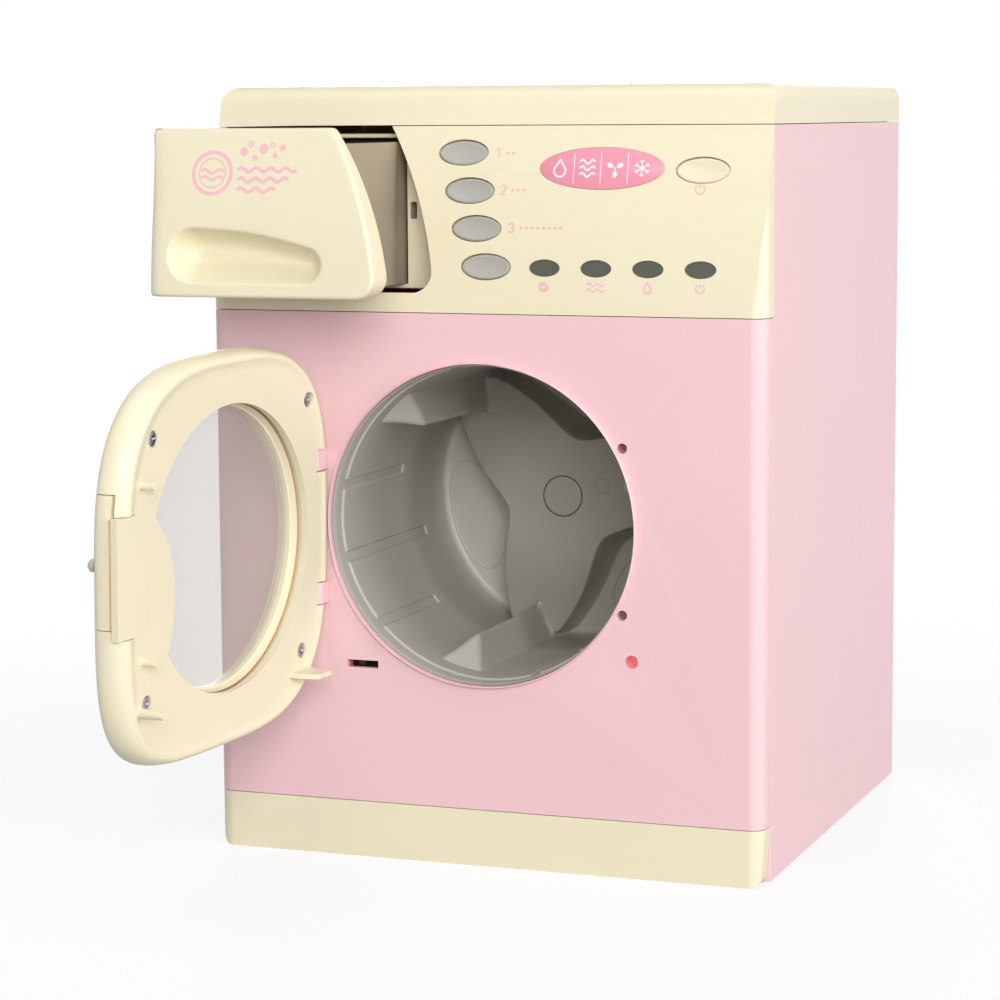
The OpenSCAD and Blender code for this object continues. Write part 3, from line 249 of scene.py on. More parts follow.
def meshFrom(name, points, faces, closeness=0.0):  # points in millimetres
    mesh = bpy.data.meshes.new(name)
    work = bmesh.new()
    made = [work.verts.new(Vector(p) * mm) for p in points]
    for face in faces:
        corners = list(dict.fromkeys(made[i] for i in face))
        if len(corners) > 2 and not work.faces.get(corners):
            work.faces.new(corners)
    if closeness:
        bmesh.ops.remove_doubles(work, verts=work.verts, dist=closeness * mm)
    bmesh.ops.recalc_face_normals(work, faces=work.faces)
    work.to_mesh(mesh)
    work.free()
    return mesh


def smoothMesh(mesh, angle=35):
    mesh.shade_smooth()
    mesh.set_sharp_from_angle(angle=radians(angle))
    return mesh


def ringFaces(rings, around, closed=True):  # quads between rings of equal count
    return [(k * around + i, k * around + j, (k + 1) * around + j, (k + 1) * around + i) for k in range(rings - 1)
            for i in range(around if closed else around - 1) for j in ((i + 1) % around,)]


def applied(piece):  # bake the modifiers into a plain mesh
    graph = bpy.context.evaluated_depsgraph_get()
    mesh = bpy.data.meshes.new_from_object(piece.evaluated_get(graph))
    piece.modifiers.clear()
    old = piece.data
    piece.data = mesh
    bpy.data.meshes.remove(old)
    return piece


def rounded(piece, width, limit, angle, miter="MITER_SHARP"):
    bevel = piece.modifiers.new("edges", "BEVEL")
    bevel.width = width * mm
    bevel.segments = 2
    bevel.limit_method = "ANGLE"
    bevel.angle_limit = radians(limit)
    bevel.use_clamp_overlap = True
    bevel.miter_outer = miter
    applied(piece)
    smoothMesh(piece.data, angle)
    weighted = piece.modifiers.new("normals", "WEIGHTED_NORMAL")  # flat faces keep one shade up to their edges
    weighted.mode = "FACE_AREA"
    weighted.weight = 100
    weighted.keep_sharp = True
    return applied(piece)


def camel(node):
    first, *others = node.split("_")
    return first + "".join(part.title() for part in others)


def softened(node, width, finish, body, limit=32, shape=None, name=None):
    mesh = nodes[node].data.copy()  # the node's own solid with rounded edges
    mesh.name = name = name or camel(node)
    for vertex in mesh.vertices if shape else ():
        vertex.co = Vector(shape(*(vertex.co / mm))) * mm
    close = 0.002 * mm
    work = bmesh.new()
    work.from_mesh(mesh)
    bmesh.ops.remove_doubles(work, verts=work.verts, dist=close)
    bmesh.ops.dissolve_degenerate(work, edges=work.edges, dist=close)
    bmesh.ops.dissolve_limit(work, angle_limit=radians(0.6), verts=work.verts, edges=work.edges)
    work.to_mesh(mesh)
    work.free()
    piece = rounded(linked(name, mesh), width, limit, 42, "MITER_ARC")
    return placed(piece, finish, body, node)


class Tree:  # a Geometry Nodes tree with named inputs
    def __init__(self, name, inputs):
        self.tree = bpy.data.node_groups.new(name, "GeometryNodeTree")
        self.ids = {}
        self.socket("Geometry", "INPUT", "Geometry")
        for label, (kind, value) in inputs.items():
            made = self.socket(label, "INPUT", kind)
            if value is not None:
                made.default_value = value
            self.ids[label] = made.identifier
        self.socket("Geometry", "OUTPUT", "Geometry")
        self.inputs = self.tree.nodes.new("NodeGroupInput").outputs
        self.end = self.tree.nodes.new("NodeGroupOutput")

    def socket(self, label, way, kind):
        return self.tree.interface.new_socket(label, in_out=way, socket_type="NodeSocket" + kind)

    def add(self, kind, settings=None, values=None, output=0):
        made = self.tree.nodes.new(kind)
        for key, value in (settings or {}).items():
            setattr(made, key, value)
        for key, value in (values or {}).items():
            if isinstance(value, bpy.types.NodeSocket):
                self.tree.links.new(value, made.inputs[key])
            else:
                made.inputs[key].default_value = value
        return made.outputs[output]

    def maths(self, operation, first, second):
        return self.add("ShaderNodeMath", {"operation": operation}, {0: first, 1: second})

    def spread(self, points, shape, **more):  # copies on points, made real
        copies = self.add("GeometryNodeInstanceOnPoints", None, {"Points": points, "Instance": shape, **more})
        return self.add("GeometryNodeRealizeInstances", None, {"Geometry": copies})

    def finish(self, shape):
        painted = self.add("GeometryNodeSetMaterial", None, {"Geometry": shape, "Material": self.inputs["Finish"]})
        self.tree.links.new(painted, self.end.inputs[0])
        return self

    def grow(self, piece, values):  # run it on a piece, then keep the plain mesh
        modifier = piece.modifiers.new("grow", "NODES")
        modifier.node_group = self.tree
        for label, value in values.items():
            modifier[self.ids[label]] = value
        return applied(piece)


def turnOf(degrees, axis):
    return Matrix.Rotation(radians(degrees), 4, axis)


# Camera at the photograph's angle
shot = {"frame": 36, "place": (392.4, -1140.0, 279.9), "yaw": 20.365, "pitch": 7.290, "roll": -0.328, "lens": 109.0}
eye = linked("camera", bpy.data.cameras.new("camera"))
eye.data.lens = shot["lens"]
eye.data.sensor_width = shot["frame"]
eye.data.clip_start, eye.data.clip_end = 0.05, 30
eye.matrix_world = (Matrix.Translation(Vector(shot["place"]) * mm) @ turnOf(shot["yaw"], "Z")
                    @ turnOf(90 - shot["pitch"], "X") @ turnOf(shot["roll"], "Z"))
scene.camera = eye

# Cabinet: each moulding is its own solid with rounded edges
mouldings = {
    "rear_shell": (0.5, "pink", "pink_plastic"), "front_panel": (0.5, "pink", "pink_plastic"),
    "control_fascia": (0.7, "cream", "cream_plastic"), "top_lid": (0.8, "cream", "cream_plastic"),
    "base_plinth": (0.6, "cream", "cream_plastic"), "base_plate": (0.5, "pink", "pink_plastic"),
    "drawer_bay": (0.5, "cream", "cream_plastic"), "drive_bracket": (0.4, "gear", "bracket_plastic")}
rim = {"from": 58.3, "to": 60.59, "deep": 7.5, "middle": 58.5, "thinR": 59.9}


def thinRim(x, y, z):  # the port's rolled rim is thin
    radius = hypot(x, z - drumZ)
    if rim["from"] < radius < rim["to"] and y < frontY + rim["deep"]:
        share = (rim["thinR"] + (radius - rim["middle"]) / 3) / radius
        return x * share, y, (z - drumZ) * share + drumZ
    return x, y, z


for node, (width, finish, slot) in mouldings.items():
    softened(node, width, finish, "cabinet", shape=thinRim if node == "front_panel" else None,
             name="cabinetShell" if node == "rear_shell" else None)
print("cabinet mouldings:", len(mouldings))

# Drum: a third of it is modelled, and Geometry Nodes turns it three times
drum = {"mouth": -96, "depth": 105, "radius": 59.7, "step": 0.75, "cornerR": 2.4, "first": 75,
        "star": 20, "waist": 26, "half": 50.5, "fall": 6, "fallFrom": 24, "fallOver": 32, "wallSoft": 2.6,
        "ringR": 59.3, "ringT": 0.35, "ringOut": 7.7, "flangeR": 68, "flangeT": 2, "outerR": 63, "backT": 2.2,
        "boreR": 3.2, "channelHalf": 2.0, "channelSoft": 0.3, "channels": ((-27, 58), (0, 80), (27, 58))}
paddle = {"high": 11.2, "from": 10.5, "half": 14, "flat": 1.6, "sides": 1.5, "front": 1.02, "least": 0.4,
          "topSoft": 2.2, "frontSoft": 1.2, "footSoft": 1.6}
depths = [0.1, 0.25, 0.4, 0.6, 0.85, 1.1, 2, 4, 7, 9.4, 10.4, 11.4, 12.6, 14, 15.5, 17, 18.5, 20, 21, 22, 23, 24.5,
          27, 33, 39, 45, 51, 55, 57, 57.6, 57.9, 58.2, 58.6, 60, 64, 69, 74, 77.5, 79.4, 79.7, 80, 80.3, 80.8, 82,
          83.5]
channelTurns = (1.2, 1.62, 1.84, 2.0, 2.22, 2.9)  # degrees from a channel's middle
paddleTurns = (44.5, 46, 46.8, 47.4, 48, 48.6, 49.2, 50, 50.8, 51.5, 52.3, 53, 55.5, 58.2, 58.8, 59.4)
mouth = Vector((0, drum["mouth"], drumZ))


def blendMin(a, b, k):
    h = max(0.0, min(1.0, 0.5 + 0.5 * (b - a) / k))
    return b * (1 - h) + a * h - k * h * (1 - h)


def soft(x):
    x = max(0.0, min(1.0, x))
    return x * x * (3 - 2 * x)


def drumWall(turned, depth):  # radius of the wall, turned degrees from a sector's middle
    side = drum["radius"] * radians(60 - abs(turned))
    ridge = blendMin(paddle["high"] + paddle["flat"] - paddle["sides"] * side, paddle["high"], paddle["topSoft"])
    ridge = blendMin(ridge, (depth - paddle["from"]) * paddle["front"], paddle["frontSoft"])
    ridge = -blendMin(-ridge, 0.0, paddle["footSoft"])
    ridge = 0.0 if side > paddle["half"] else max(0.0, ridge - (paddle["least"] if ridge < paddle["least"] else 0.0))
    groove, ease = 0.0, drum["channelSoft"]
    for middle, length in drum["channels"]:
        off = abs(drum["radius"] * radians(turned - middle))
        across = soft((drum["channelHalf"] + ease - off) / (2 * ease))
        groove = max(groove, across * soft((length + ease - depth) / (2 * ease)))
    return drum["ringR"] - ridge - drum["step"] * soft((depth - 0.1) / 0.9) * (1 - groove)


def starEdge(turned):
    return drum["waist"] + (drum["radius"] - drum["waist"]) * (turned / drum["half"]) ** 2


def drumFloor(radius, turned):  # depth of the floor; the star stands in front of it
    outside = (radius - starEdge(turned)) / drum["wallSoft"]
    high = drum["star"] - drum["fall"] * soft((radius - drum["fallFrom"]) / drum["fallOver"])
    return drum["depth"] - high * (1 - soft(0.5 + 0.5 * outside))


def drumThird():  # columns of (radius, depth), back's middle to star's middle
    turns = set(range(-60, 61, 3)) | {s * t for s in (-1, 1) for t in paddleTurns}
    for middle, length in drum["channels"]:
        turns |= {middle + s * d for s in (-1, 1) for d in channelTurns}
    bore, outer, edge, thick = drum["boreR"], drum["outerR"], drum["flangeR"], drum["flangeT"]
    back, lip, front, soften = drum["depth"] + drum["backT"], drum["ringR"], -drum["ringOut"], drum["cornerR"]
    over = lip + drum["ringT"]
    outside = [(bore, back - 6), (bore, back), (20, back), (outer - 1, back), (outer, back - 1), (outer, 60),
               (outer, thick + 0.8), (outer + 0.8, thick), (edge - 0.6, thick), (edge, thick - 0.5), (edge, 0.5),
               (edge - 0.5, 0), (edge - 4, 0), (over + 0.3, 0), (over, -0.3), (over, front + 0.15),
               (over - 0.1, front), (lip + 0.1, front), (lip, front + 0.15), (lip, front / 2), (lip, 0)]
    columns = []
    for t in sorted(turns):
        corner = drumWall(t, 84)
        floorAt = drumFloor(corner, t)
        last = depths[-1]
        lower = [last + (floorAt - soften - last) * s for s in (0.15, 0.3, 0.5, 0.7, 0.85, 1.0)]
        column = outside + [(drumWall(t, d), d) for d in depths + lower]
        column += [(corner - soften * (1 - cos(radians(a))), floorAt - soften + soften * sin(radians(a)))
                   for a in (22, 45, 68, 90)]
        high, low = starEdge(t) + drum["wallSoft"], starEdge(t) - drum["wallSoft"]
        high, low, foot = min(high, corner - soften - 0.1), min(low, corner - soften - 0.2), corner - soften
        radii = [foot + (high - foot) * s for s in (0.2, 0.45, 0.7, 0.9)]
        radii += [high + (low - high) * s for s in (0, 0.08, 0.16, 0.26, 0.38, 0.5, 0.62, 0.74, 0.84, 0.92, 1)]
        radii += [low * s for s in (0.94, 0.82, 0.66, 0.5, 0.36, 0.24, 0.14, 0.06)]
        column += [(r, drumFloor(r, t)) for r in radii] + [(0.0, drum["depth"] - drum["star"])]
        columns.append([(r * cos(radians(t)), d, r * sin(radians(t))) for r, d in column])
    points = [p for column in columns for p in column]
    return meshFrom("drumBody", points, ringFaces(len(columns), len(columns[0]), closed=False), 0.003)


def threeTurnsTree():  # turns a piece about the drum's axis and joins the copies
    tree = Tree("threeTurns", {
        "First turn": ("Float", radians(drum["first"])), "Copies": ("Int", 3), "Finish": ("Material", None),
        "Merge": ("Float", 0.02 * mm)})
    line = tree.add("GeometryNodeMeshLine", {"mode": "OFFSET"}, {"Count": tree.inputs["Copies"], "Offset": (0, 0, 0)})
    index = tree.add("GeometryNodeInputIndex")
    each = tree.add("ShaderNodeMath", {"operation": "MULTIPLY_ADD"},
                    {0: index, 1: radians(120), 2: tree.inputs["First turn"]})
    angle = tree.add("ShaderNodeCombineXYZ", None, {"Y": tree.maths("MULTIPLY", each, -1.0)})
    real = tree.spread(line, tree.inputs["Geometry"], Rotation=angle)
    merged = tree.add("GeometryNodeMergeByDistance", None, {"Geometry": real, "Distance": tree.inputs["Merge"]})
    return tree.finish(tree.add("GeometryNodeTransform", None, {"Geometry": merged, "Translation": mouth * mm}))


threeTurns = threeTurnsTree()


def turnedThrice(name, mesh, angle, node=None):
    piece = threeTurns.grow(linked(name, mesh), {"Finish": finishes["drum"]})
    smoothMesh(piece.data, angle)
    return placed(piece, None, "drum", node)


drumBody = turnedThrice("drumBody", drumThird(), 35, "drum")
print("drum:", len(drumBody.data.polygons), "faces")


def ridgeRing(line, depth, height, half):  # a low rounded ridge along a closed line, toward the front
    points, up = [], Vector((0, -1, 0))
    line = [Vector((x, depth, z)) for x, z in line]
    for i, p in enumerate(line):
        along = (line[(i + 1) % len(line)] - line[i - 1]).normalized()
        side = along.cross(up).normalized()
        points += [p + side * half * s + up * h for s, h in
                   ((-1.4, -0.1), (-0.6, height * 0.75), (0, height), (0.6, height * 0.75), (1.4, -0.1))]
    faces = [(i * 5 + k, i * 5 + (k + 1) % 5, j * 5 + (k + 1) % 5, j * 5 + k)
             for i in range(len(line)) for j in ((i + 1) % len(line),) for k in range(5)]
    return points, faces


marks = {"ovalAt": 45.2, "ovalAcross": 10.6, "ovalAlong": 22.5, "markAt": 17, "markTurn": 60, "markR": 3.0, "hubR": 8.0}
oval = [(marks["ovalAt"] + marks["ovalAcross"] * x, marks["ovalAlong"] * z) for x, z in circle(0, 0, 1, 72)]
points, faces = ridgeRing(oval, drum["depth"] - 0.02, 0.38, 0.42)
star = drum["depth"] - drum["star"] - 0.02
mark = [marks["markAt"] * f(radians(marks["markTurn"])) for f in (cos, sin)]
more, moreFaces = ridgeRing(circle(*mark, marks["markR"], 32), star, 0.16, 0.22)
faces += [tuple(i + len(points) for i in face) for face in moreFaces]
turnedThrice("drumMarks", meshFrom("drumMarks", points + more, faces), 60)


def lathe(profile, around=64):  # profile of (radius, depth), turned about Y
    points = [(x, d, z) for r, d in profile for x, z in circle(0, 0, r, around)]
    return points, ringFaces(len(profile), around)


def lathed(name, profile, centre, finish, body, around=64):
    points, faces = lathe(profile, around)
    mesh = meshFrom(name, [Vector(p) + Vector(centre) for p in points], faces, 0.005)
    return placed(linked(name, smoothMesh(mesh)), finish, body)


hub = marks["hubR"]
cap = [(0, star + 1), (hub - 0.15, star + 1), (hub - 0.15, star - 0.10), (hub - 0.5, star - 0.32),
       (hub - 1.2, star - 0.36), (0, star - 0.36)]
lathed("drumHubCap", cap, mouth, "drum", "drum")
gap = [(hub - 0.15, star + 0.2), (hub - 0.15, star - 0.05), (hub + 0.28, star - 0.05), (hub + 0.28, star + 0.2)]
lathed("drumHubGap", gap, mouth, "black", "drum")
catch = {"x": 58.6, "z": 80.9, "profile": [(0, 11), (4.1, 11), (4.1, 2.4), (3.2, 2.4), (3.2, 10.2), (0, 10.2)]}
lathed("catchPocket", catch["profile"], (catch["x"], frontY, catch["z"]), "pink", "cabinet", 48)
print("drum marks, hub and catch pocket")


# Drawer: the front is a lofted shell with a soft finger hollow
def lean(z):
    return max(0.0, z - cabinet["fasciaZ"]) ** 2 / (2 * cabinet["leanR"])


def faceY(x, z):  # front face of the leaning fascia, round its left corner
    r = cabinet["edgeR"]
    over = max(0.0, abs(x) + leftX + r)
    return frontY + lean(z) + r - sqrt(max(0.0, r * r - min(over, r) ** 2))


drawer = {"out": 54, "fit": 0.6, "bottom": 214.1, "arcX": -145.3, "arcZ": 207.2, "arcR": 127.5, "cornerR": 8,
          "topCornerR": 3.0, "leftR": 1.8, "edge": 1.3, "skirt": 12.8, "shellX": -104, "shellY": -94.0, "wall": 1.9,
          "hollow": 9.6, "lip": 1.2, "wallIn": 7.6, "middle": (-69.0, 229.6), "around": 288}
grip = {"left": (-89.7, 229.7), "leftR": 9.4, "right": (-46.2, 226.5), "rightR": 6.2, "swell": 1.5}


def drawerOutline():  # closed line in X and Z, anticlockwise from the lower left
    low, top = drawer["bottom"] + drawer["fit"], cabinet["lidZ"] - drawer["fit"]
    big, small = drawer["arcR"] - drawer["fit"], drawer["cornerR"] - drawer["fit"]
    arc, soften, r = (drawer["arcX"], drawer["arcZ"]), drawer["topCornerR"], drawer["leftR"]
    cornerZ, reach = drawer["bottom"] + drawer["cornerR"], drawer["arcR"] - drawer["cornerR"]
    turnAt = asin((cornerZ - arc[1]) / reach)
    cornerX = arc[0] + reach * cos(turnAt)
    upTo = asin((top - soften - arc[1]) / (big - soften))
    centreX = arc[0] + (big - soften) * cos(upTo)
    return (straight((leftX + r, low), (cornerX, low), 20)[:-1]
            + circle(cornerX, cornerZ, small, 16, -pi / 2, turnAt + pi / 2)[:-1]
            + circle(*arc, big, 24, turnAt, upTo - turnAt)
            + circle(centreX, top - soften, soften, 8, upTo, pi / 2 - upTo)[1:]
            + straight((centreX, top), (leftX + r, top), 30)[1:]
            + circle(leftX + r, top - r, r, 6, pi / 2, pi / 2)[1:]
            + straight((leftX, top - r), (leftX, low + r), 20)[1:-1]
            + circle(leftX + r, low + r, r, 6, pi, pi / 2)[:-1])


def hollowOutline():
    (leftAt, leftZ), leftR, (rightAt, rightZ), rightR = (grip[key] for key in ("left", "leftR", "right", "rightR"))
    slope = pi / 2 + 2 * atan((rightZ - leftZ) / (rightAt - leftAt))
    line = circle(leftAt, leftZ, leftR, 30, slope, 1.5 * pi - slope)
    line += straight((leftAt, leftZ - leftR), (rightAt, rightZ - rightR), 16)[1:-1]
    line += circle(rightAt, rightZ, rightR, 30, -pi / 2, slope + pi / 2)
    upper = straight(line[-1], line[0], 16)  # it swells before it falls to the right
    return line + [(x, z + grip["swell"] * sin(pi * i / 16)) for i, (x, z) in enumerate(upper)][1:-1]


def byAngle(line, middle, around):  # the line sampled on even rays from the middle
    found, sides = [], list(zip(line, line[1:] + line[:1]))
    for ux, uz in circle(0, 0, 1, around):
        best = 0.0
        for (ax, az), (bx, bz) in sides:
            px, pz, dx, dz = ax - middle[0], az - middle[1], bx - ax, bz - az
            cross = ux * dz - uz * dx
            if abs(cross) > 1e-12:
                along = (px * dz - pz * dx) / cross
                share = (px * uz - pz * ux) / cross
                if along > 0 and -1e-6 <= share <= 1 + 1e-6:
                    best = max(best, along)
        found.append((middle[0] + ux * best, middle[1] + uz * best))
    return found


def inwards(line, distance):  # moves each point along its own inward normal
    moved = []
    for i, (x, z) in enumerate(line):
        ax, az = line[i - 1]
        bx, bz = line[(i + 1) % len(line)]
        length = hypot(bx - ax, bz - az) or 1
        moved.append((x - (bz - az) / length * distance, z + (bx - ax) / length * distance))
    return moved


def between(first, last, share):  # the line part of the way from one to another
    return [(a[0] + (b[0] - a[0]) * share, a[1] + (b[1] - a[1]) * share) for a, b in zip(first, last)]


def nearest(line, x, z):
    best, sides = 1e9, zip(line, line[1:] + line[:1])
    for (ax, az), (bx, bz) in sides:
        dx, dz = bx - ax, bz - az
        s = max(0.0, min(1.0, ((x - ax) * dx + (z - az) * dz) / (dx * dx + dz * dz or 1)))
        best = min(best, hypot(x - ax - dx * s, z - az - dz * s))
    return best


def besideShell(x, y):  # the left end stops in front of the cabinet's side
    return min(y, drawer["shellY"]) if x < drawer["shellX"] else y


def drawerFace(x, z, depth):  # its rounding shrinks where the lean leaves less room for it
    plane, y, r = frontY + lean(z), faceY(x, z), cabinet["edgeR"]
    if x < leftX + r:
        y = plane + (y - plane) * max(0.2, min(r, drawer["shellY"] - 0.5 - plane)) / r
    return besideShell(x, y + depth)


def drawerFront():
    hollow, middle, around = hollowOutline(), drawer["middle"], drawer["around"]
    edge, lipR, wall, deepest = drawer["edge"], drawer["lip"], drawer["wall"], drawer["hollow"]
    outer, lip = byAngle(drawerOutline(), middle, around), byAngle(hollow, middle, around)
    middleY, skirtY = faceY(*middle), frontY + drawer["skirt"]

    def ring(line, depth):
        return [(x, drawerFace(x, z, depth), z) for x, z in line]

    def ringAt(line, y):
        return [(x, besideShell(x, y), z) for x, z in line]
    rings = [ringAt(outer, skirtY), ringAt(outer, skirtY - 0.3)]
    for a in map(radians, (0, 18, 36, 54, 72, 90)):
        rings.append(ring(inwards(outer, edge * (1 - cos(a))), edge * (1 - sin(a))))
    last, start = inwards(outer, edge), inwards(lip, -lipR)
    rings += [ring(between(last, start, share), 0) for share in (0.04, 0.1, 0.2, 0.35, 0.5, 0.65, 0.8, 0.92, 1)]
    rings += [ring(inwards(lip, -lipR + lipR * sin(a)), lipR * (1 - cos(a))) for a in map(radians, (30, 60, 90))]
    for s in (0.03, 0.07, 0.12, 0.18, 0.25, 0.33, 0.42, 0.52, 0.64, 0.78, 0.92):
        bowl = []
        for x, z in lip:  # its ends run to the hollow's long middle line
            px = x + (middle[0] - x) * (s ** 1.15 if abs(x - middle[0]) > 6 else s)
            pz = z + (middle[1] - z) * s
            inside = min(1.0, nearest(hollow, px, pz) / drawer["wallIn"])
            deep = (lipR + (deepest - lipR) * sin(inside * pi / 2)) * (0.94 + 0.10 * soft((pz - 220) / 18))
            bowl.append((px, faceY(px, pz) + deep, pz))
        rings.append(bowl)
    far = inwards(outer, wall)  # the same shell from behind, one wall further in
    inner = [ringAt(far, skirtY), ringAt(far, skirtY - 0.4), ring(far, wall + 0.6),
             ring(between(far, inwards(lip, -wall), 0.1), wall), ring(inwards(lip, -wall), wall),
             ring(inwards(lip, 0.6 - wall), wall + 3), ring(inwards(lip, 2.4 - wall), deepest + 0.6),
             ring([(x + (middle[0] - x) * 0.4, z + (middle[1] - z) * 0.4) for x, z in lip], deepest + wall)]
    points = [p for line in rings + inner for p in line]
    points += [(middle[0], middleY + deepest + thick, middle[1]) for thick in (0, wall)]
    start, count = len(rings) * around, len(points)
    last, lastInner = start - around, start + (len(inner) - 1) * around
    faces = ringFaces(len(rings), around)
    faces += [tuple(start + i for i in reversed(face)) for face in ringFaces(len(inner), around)]
    for i in range(around):
        j = (i + 1) % around
        faces += [(last + i, last + j, count - 2), (lastInner + j, lastInner + i, count - 1),
                  (j, i, start + i, start + j)]
    return meshFrom("drawerFront", [(x, y - drawer["out"], z) for x, y, z in points], faces)


front = linked("drawerFront", smoothMesh(drawerFront(), 40))
placed(front, "cream", "drawer", "drawer_front")
softened("drawer_tray", 0.5, "tray", "drawer")
print("drawer")

# Door: drawn closed, then turned to where it stands open
door = {"x": 1.25, "z": 127.5, "halfW": 70.5, "halfH": 71.2, "innerY": -107.2, "powers": (2.95, 3.3, 3.1, 4.6),
        "windowAt": (-2, 128.3), "windowR": 52, "around": 256, "hinge": Vector((-64, -110, 128.5)), "open": 97,
        "leans": 1.7, "screws": ((-54.5, 175.5), (47.8, 174), (-49.8, 82), (53.2, 83)), "head": (3.05, 1.6)}
band = {"x": 60, "low": 111, "high": 157, "fit": 0.35, "behind": 2.7, "handleBehind": 3.9, "farX": 90}
tongue = {"low": 107.2, "high": 149.8, "slit": ((69.2, 111.3), (70.0, 149.2))}
lugs = {"places": (-27.2, 23.3), "half": 4.4, "radius": 3.3}
innerY = door["innerY"]
leanTurn = turnOf(door["leans"], "X")
opened = (Matrix.Translation(door["hinge"]) @ leanTurn @ turnOf(-door["open"], "Z") @ turnOf(-door["leans"], "X")
          @ Matrix.Translation(-door["hinge"]))


def doorRing(free, inset):  # rounded square; its free side comes in further
    w, h, line = door["halfW"] - (free + inset) / 2, door["halfH"] - inset, []
    for i in range(720):
        a = tau * (i + 0.5) / 720
        c, s = cos(a), sin(a)
        power = 2 / door["powers"][0 if c > 0 and s > 0 else 1 if s > 0 else 2 if c < 0 else 3]
        line.append((door["x"] - (free - inset) / 2 + w * copysign(abs(c) ** power, c),
                     door["z"] + h * copysign(abs(s) ** power, s)))
    return byAngle(line, door["windowAt"], door["around"])


def doorShell():
    # free side inset, other inset, depth below the inner face
    section = [(10.6, 5.3, 2.8), (10.6, 5.3, 0.5), (13.2, 7.4, 0.3), (13.4, 7.6, -0.03), (11.6, 6.2, -0.06),
               (10.3, 5.1, -0.22), (9.5, 4.4, -0.5), (8.6, 3.7, -0.75), (7.4, 2.9, -0.8), (6.1, 2.1, -0.4),
               (4.7, 1.3, 0.7), (3.5, 0.7, 2.2), (2.7, 0.3, 4.0), (2.2, 0.05, 5.8), (2.0, 0.0, 7.6), (2.3, 0.25, 9.0),
               (3.1, 0.8, 10.2), (4.4, 2.0, 11.3), (6.2, 3.8, 12.2), (8.6, 6.2, 12.9), (11.2, 8.8, 13.2)]
    windowRim = [(1.2, 13.2), (0.4, 13.05), (-0.2, 12.6), (-0.6, 11.9), (-1.5, 9.4), (-1.5, 6.8), (3.4, 6.8),
                 (3.4, 6.4)]  # outwards of the window's radius, depth below the inner face
    around, middle, radius = door["around"], door["windowAt"], door["windowR"]
    lines = [(doorRing(free, inset), depth) for free, inset, depth in section]
    last, opening = lines[-1][0], circle(*middle, radius + windowRim[0][0], around)
    lines += [(between(last, opening, s), windowRim[0][1]) for s in (0.3, 0.6, 0.85)]
    lines += [(circle(*middle, radius + r, around), depth) for r, depth in windowRim]
    wide = doorRing(12.0, 6.5)
    lines += [(wide, windowRim[-1][1]), (wide, section[0][2])]
    points = [(x, innerY - depth, z) for line, depth in lines for x, z in line]
    faces, top = ringFaces(len(lines), around), (len(lines) - 1) * around
    faces += [(top + i, top + (i + 1) % around, (i + 1) % around, i) for i in range(around)]
    return meshFrom("doorShell", points, faces)


def cutter(low, high):  # a plain box for a boolean, in millimetres
    points = [(x, y, z) for x in (low[0], high[0]) for y in (low[1], high[1]) for z in (low[2], high[2])]
    faces = [(0, 1, 3, 2), (4, 6, 7, 5), (0, 4, 5, 1), (2, 3, 7, 6), (0, 2, 6, 4), (1, 5, 7, 3)]
    return linked("cutter", meshFrom("cutter", points, faces))


def roundCutter(centre, radius, half, turn, around=48):
    points = [turn @ Vector((x, y, h)) + Vector(centre) for h in (-half, half) for x, y in circle(0, 0, radius, around)]
    faces = ringFaces(2, around) + [tuple(range(around - 1, -1, -1)), tuple(range(around, 2 * around))]
    return linked("cutter", meshFrom("cutter", points, faces))


def carve(piece, tools, operation="DIFFERENCE"):
    for tool in tools:
        step = piece.modifiers.new(tool.name, "BOOLEAN")
        step.operation = operation
        step.object = tool
        step.solver = "EXACT"
    applied(piece)
    for tool in tools:
        bpy.data.objects.remove(tool)
    return piece


def swung(piece):  # closed place to open place, in the mesh itself
    piece.data.transform(Matrix.Diagonal((mm, mm, mm, 1)) @ opened @ Matrix.Diagonal((1 / mm, 1 / mm, 1 / mm, 1)))
    return piece


def hingeRoom():  # room for the cabinet's lugs
    tools, r, half = [], lugs["radius"], lugs["half"]
    for dz in lugs["places"]:
        x, y, z = centre = door["hinge"] + leanTurn @ Vector((0, 0, dz))
        tools += [roundCutter(centre, r, half, leanTurn), cutter((x - 20, y - r, z - half), (x + r, y + 20, z + half))]
    return tools


shell = doorShell()
if sum(f.normal.y * f.area for f in shell.polygons if f.center.y < (innerY - 13) * mm) > 0:
    shell.flip_normals()
outer, handle = linked("doorShell", shell), linked("doorHandle", shell.copy())
fit, farX = band["fit"], band["farX"]
carve(outer, hingeRoom() + [
    cutter((band["x"] - fit, innerY - 30, band["low"] - fit), (farX, innerY - band["behind"], band["high"] + fit)),
    cutter((band["x"] - 8, innerY - band["behind"], tongue["low"]), (farX, innerY + 3, tongue["high"]))])
carve(outer, [roundCutter((x, innerY + 0.2, z), *door["head"], Matrix.Rotation(pi / 2, 3, "X"))
              for x, z in door["screws"]])
handleBox = (band["x"], innerY - 30, band["low"]), (farX, innerY - band["handleBehind"], band["high"])
carve(handle, [cutter(*handleBox)], "INTERSECT")
placed(swung(rounded(outer, 0.25, 50, 38)), "cream", "door", "door_outer_frame")
placed(swung(rounded(handle, 0.35, 50, 38)), "cream", "handle", "door_handle")
softened("door_inner_frame", 0.35, "cream", "door", limit=40)
softened("handle_cap", 0.2, "drum", "handle")
print("door:", len(outer.data.polygons), "faces")


# Window: clear and domed, turned about its own axis
def doorLathe(name, profile, finish, node=None):
    points, faces = lathe(profile, 160)
    points = [(x + door["windowAt"][0], innerY - d, z + door["windowAt"][1]) for x, d, z in points]
    piece = linked(name, smoothMesh(meshFrom(name, points, faces, 0.004), 32))
    return placed(swung(piece), finish, "door", node)


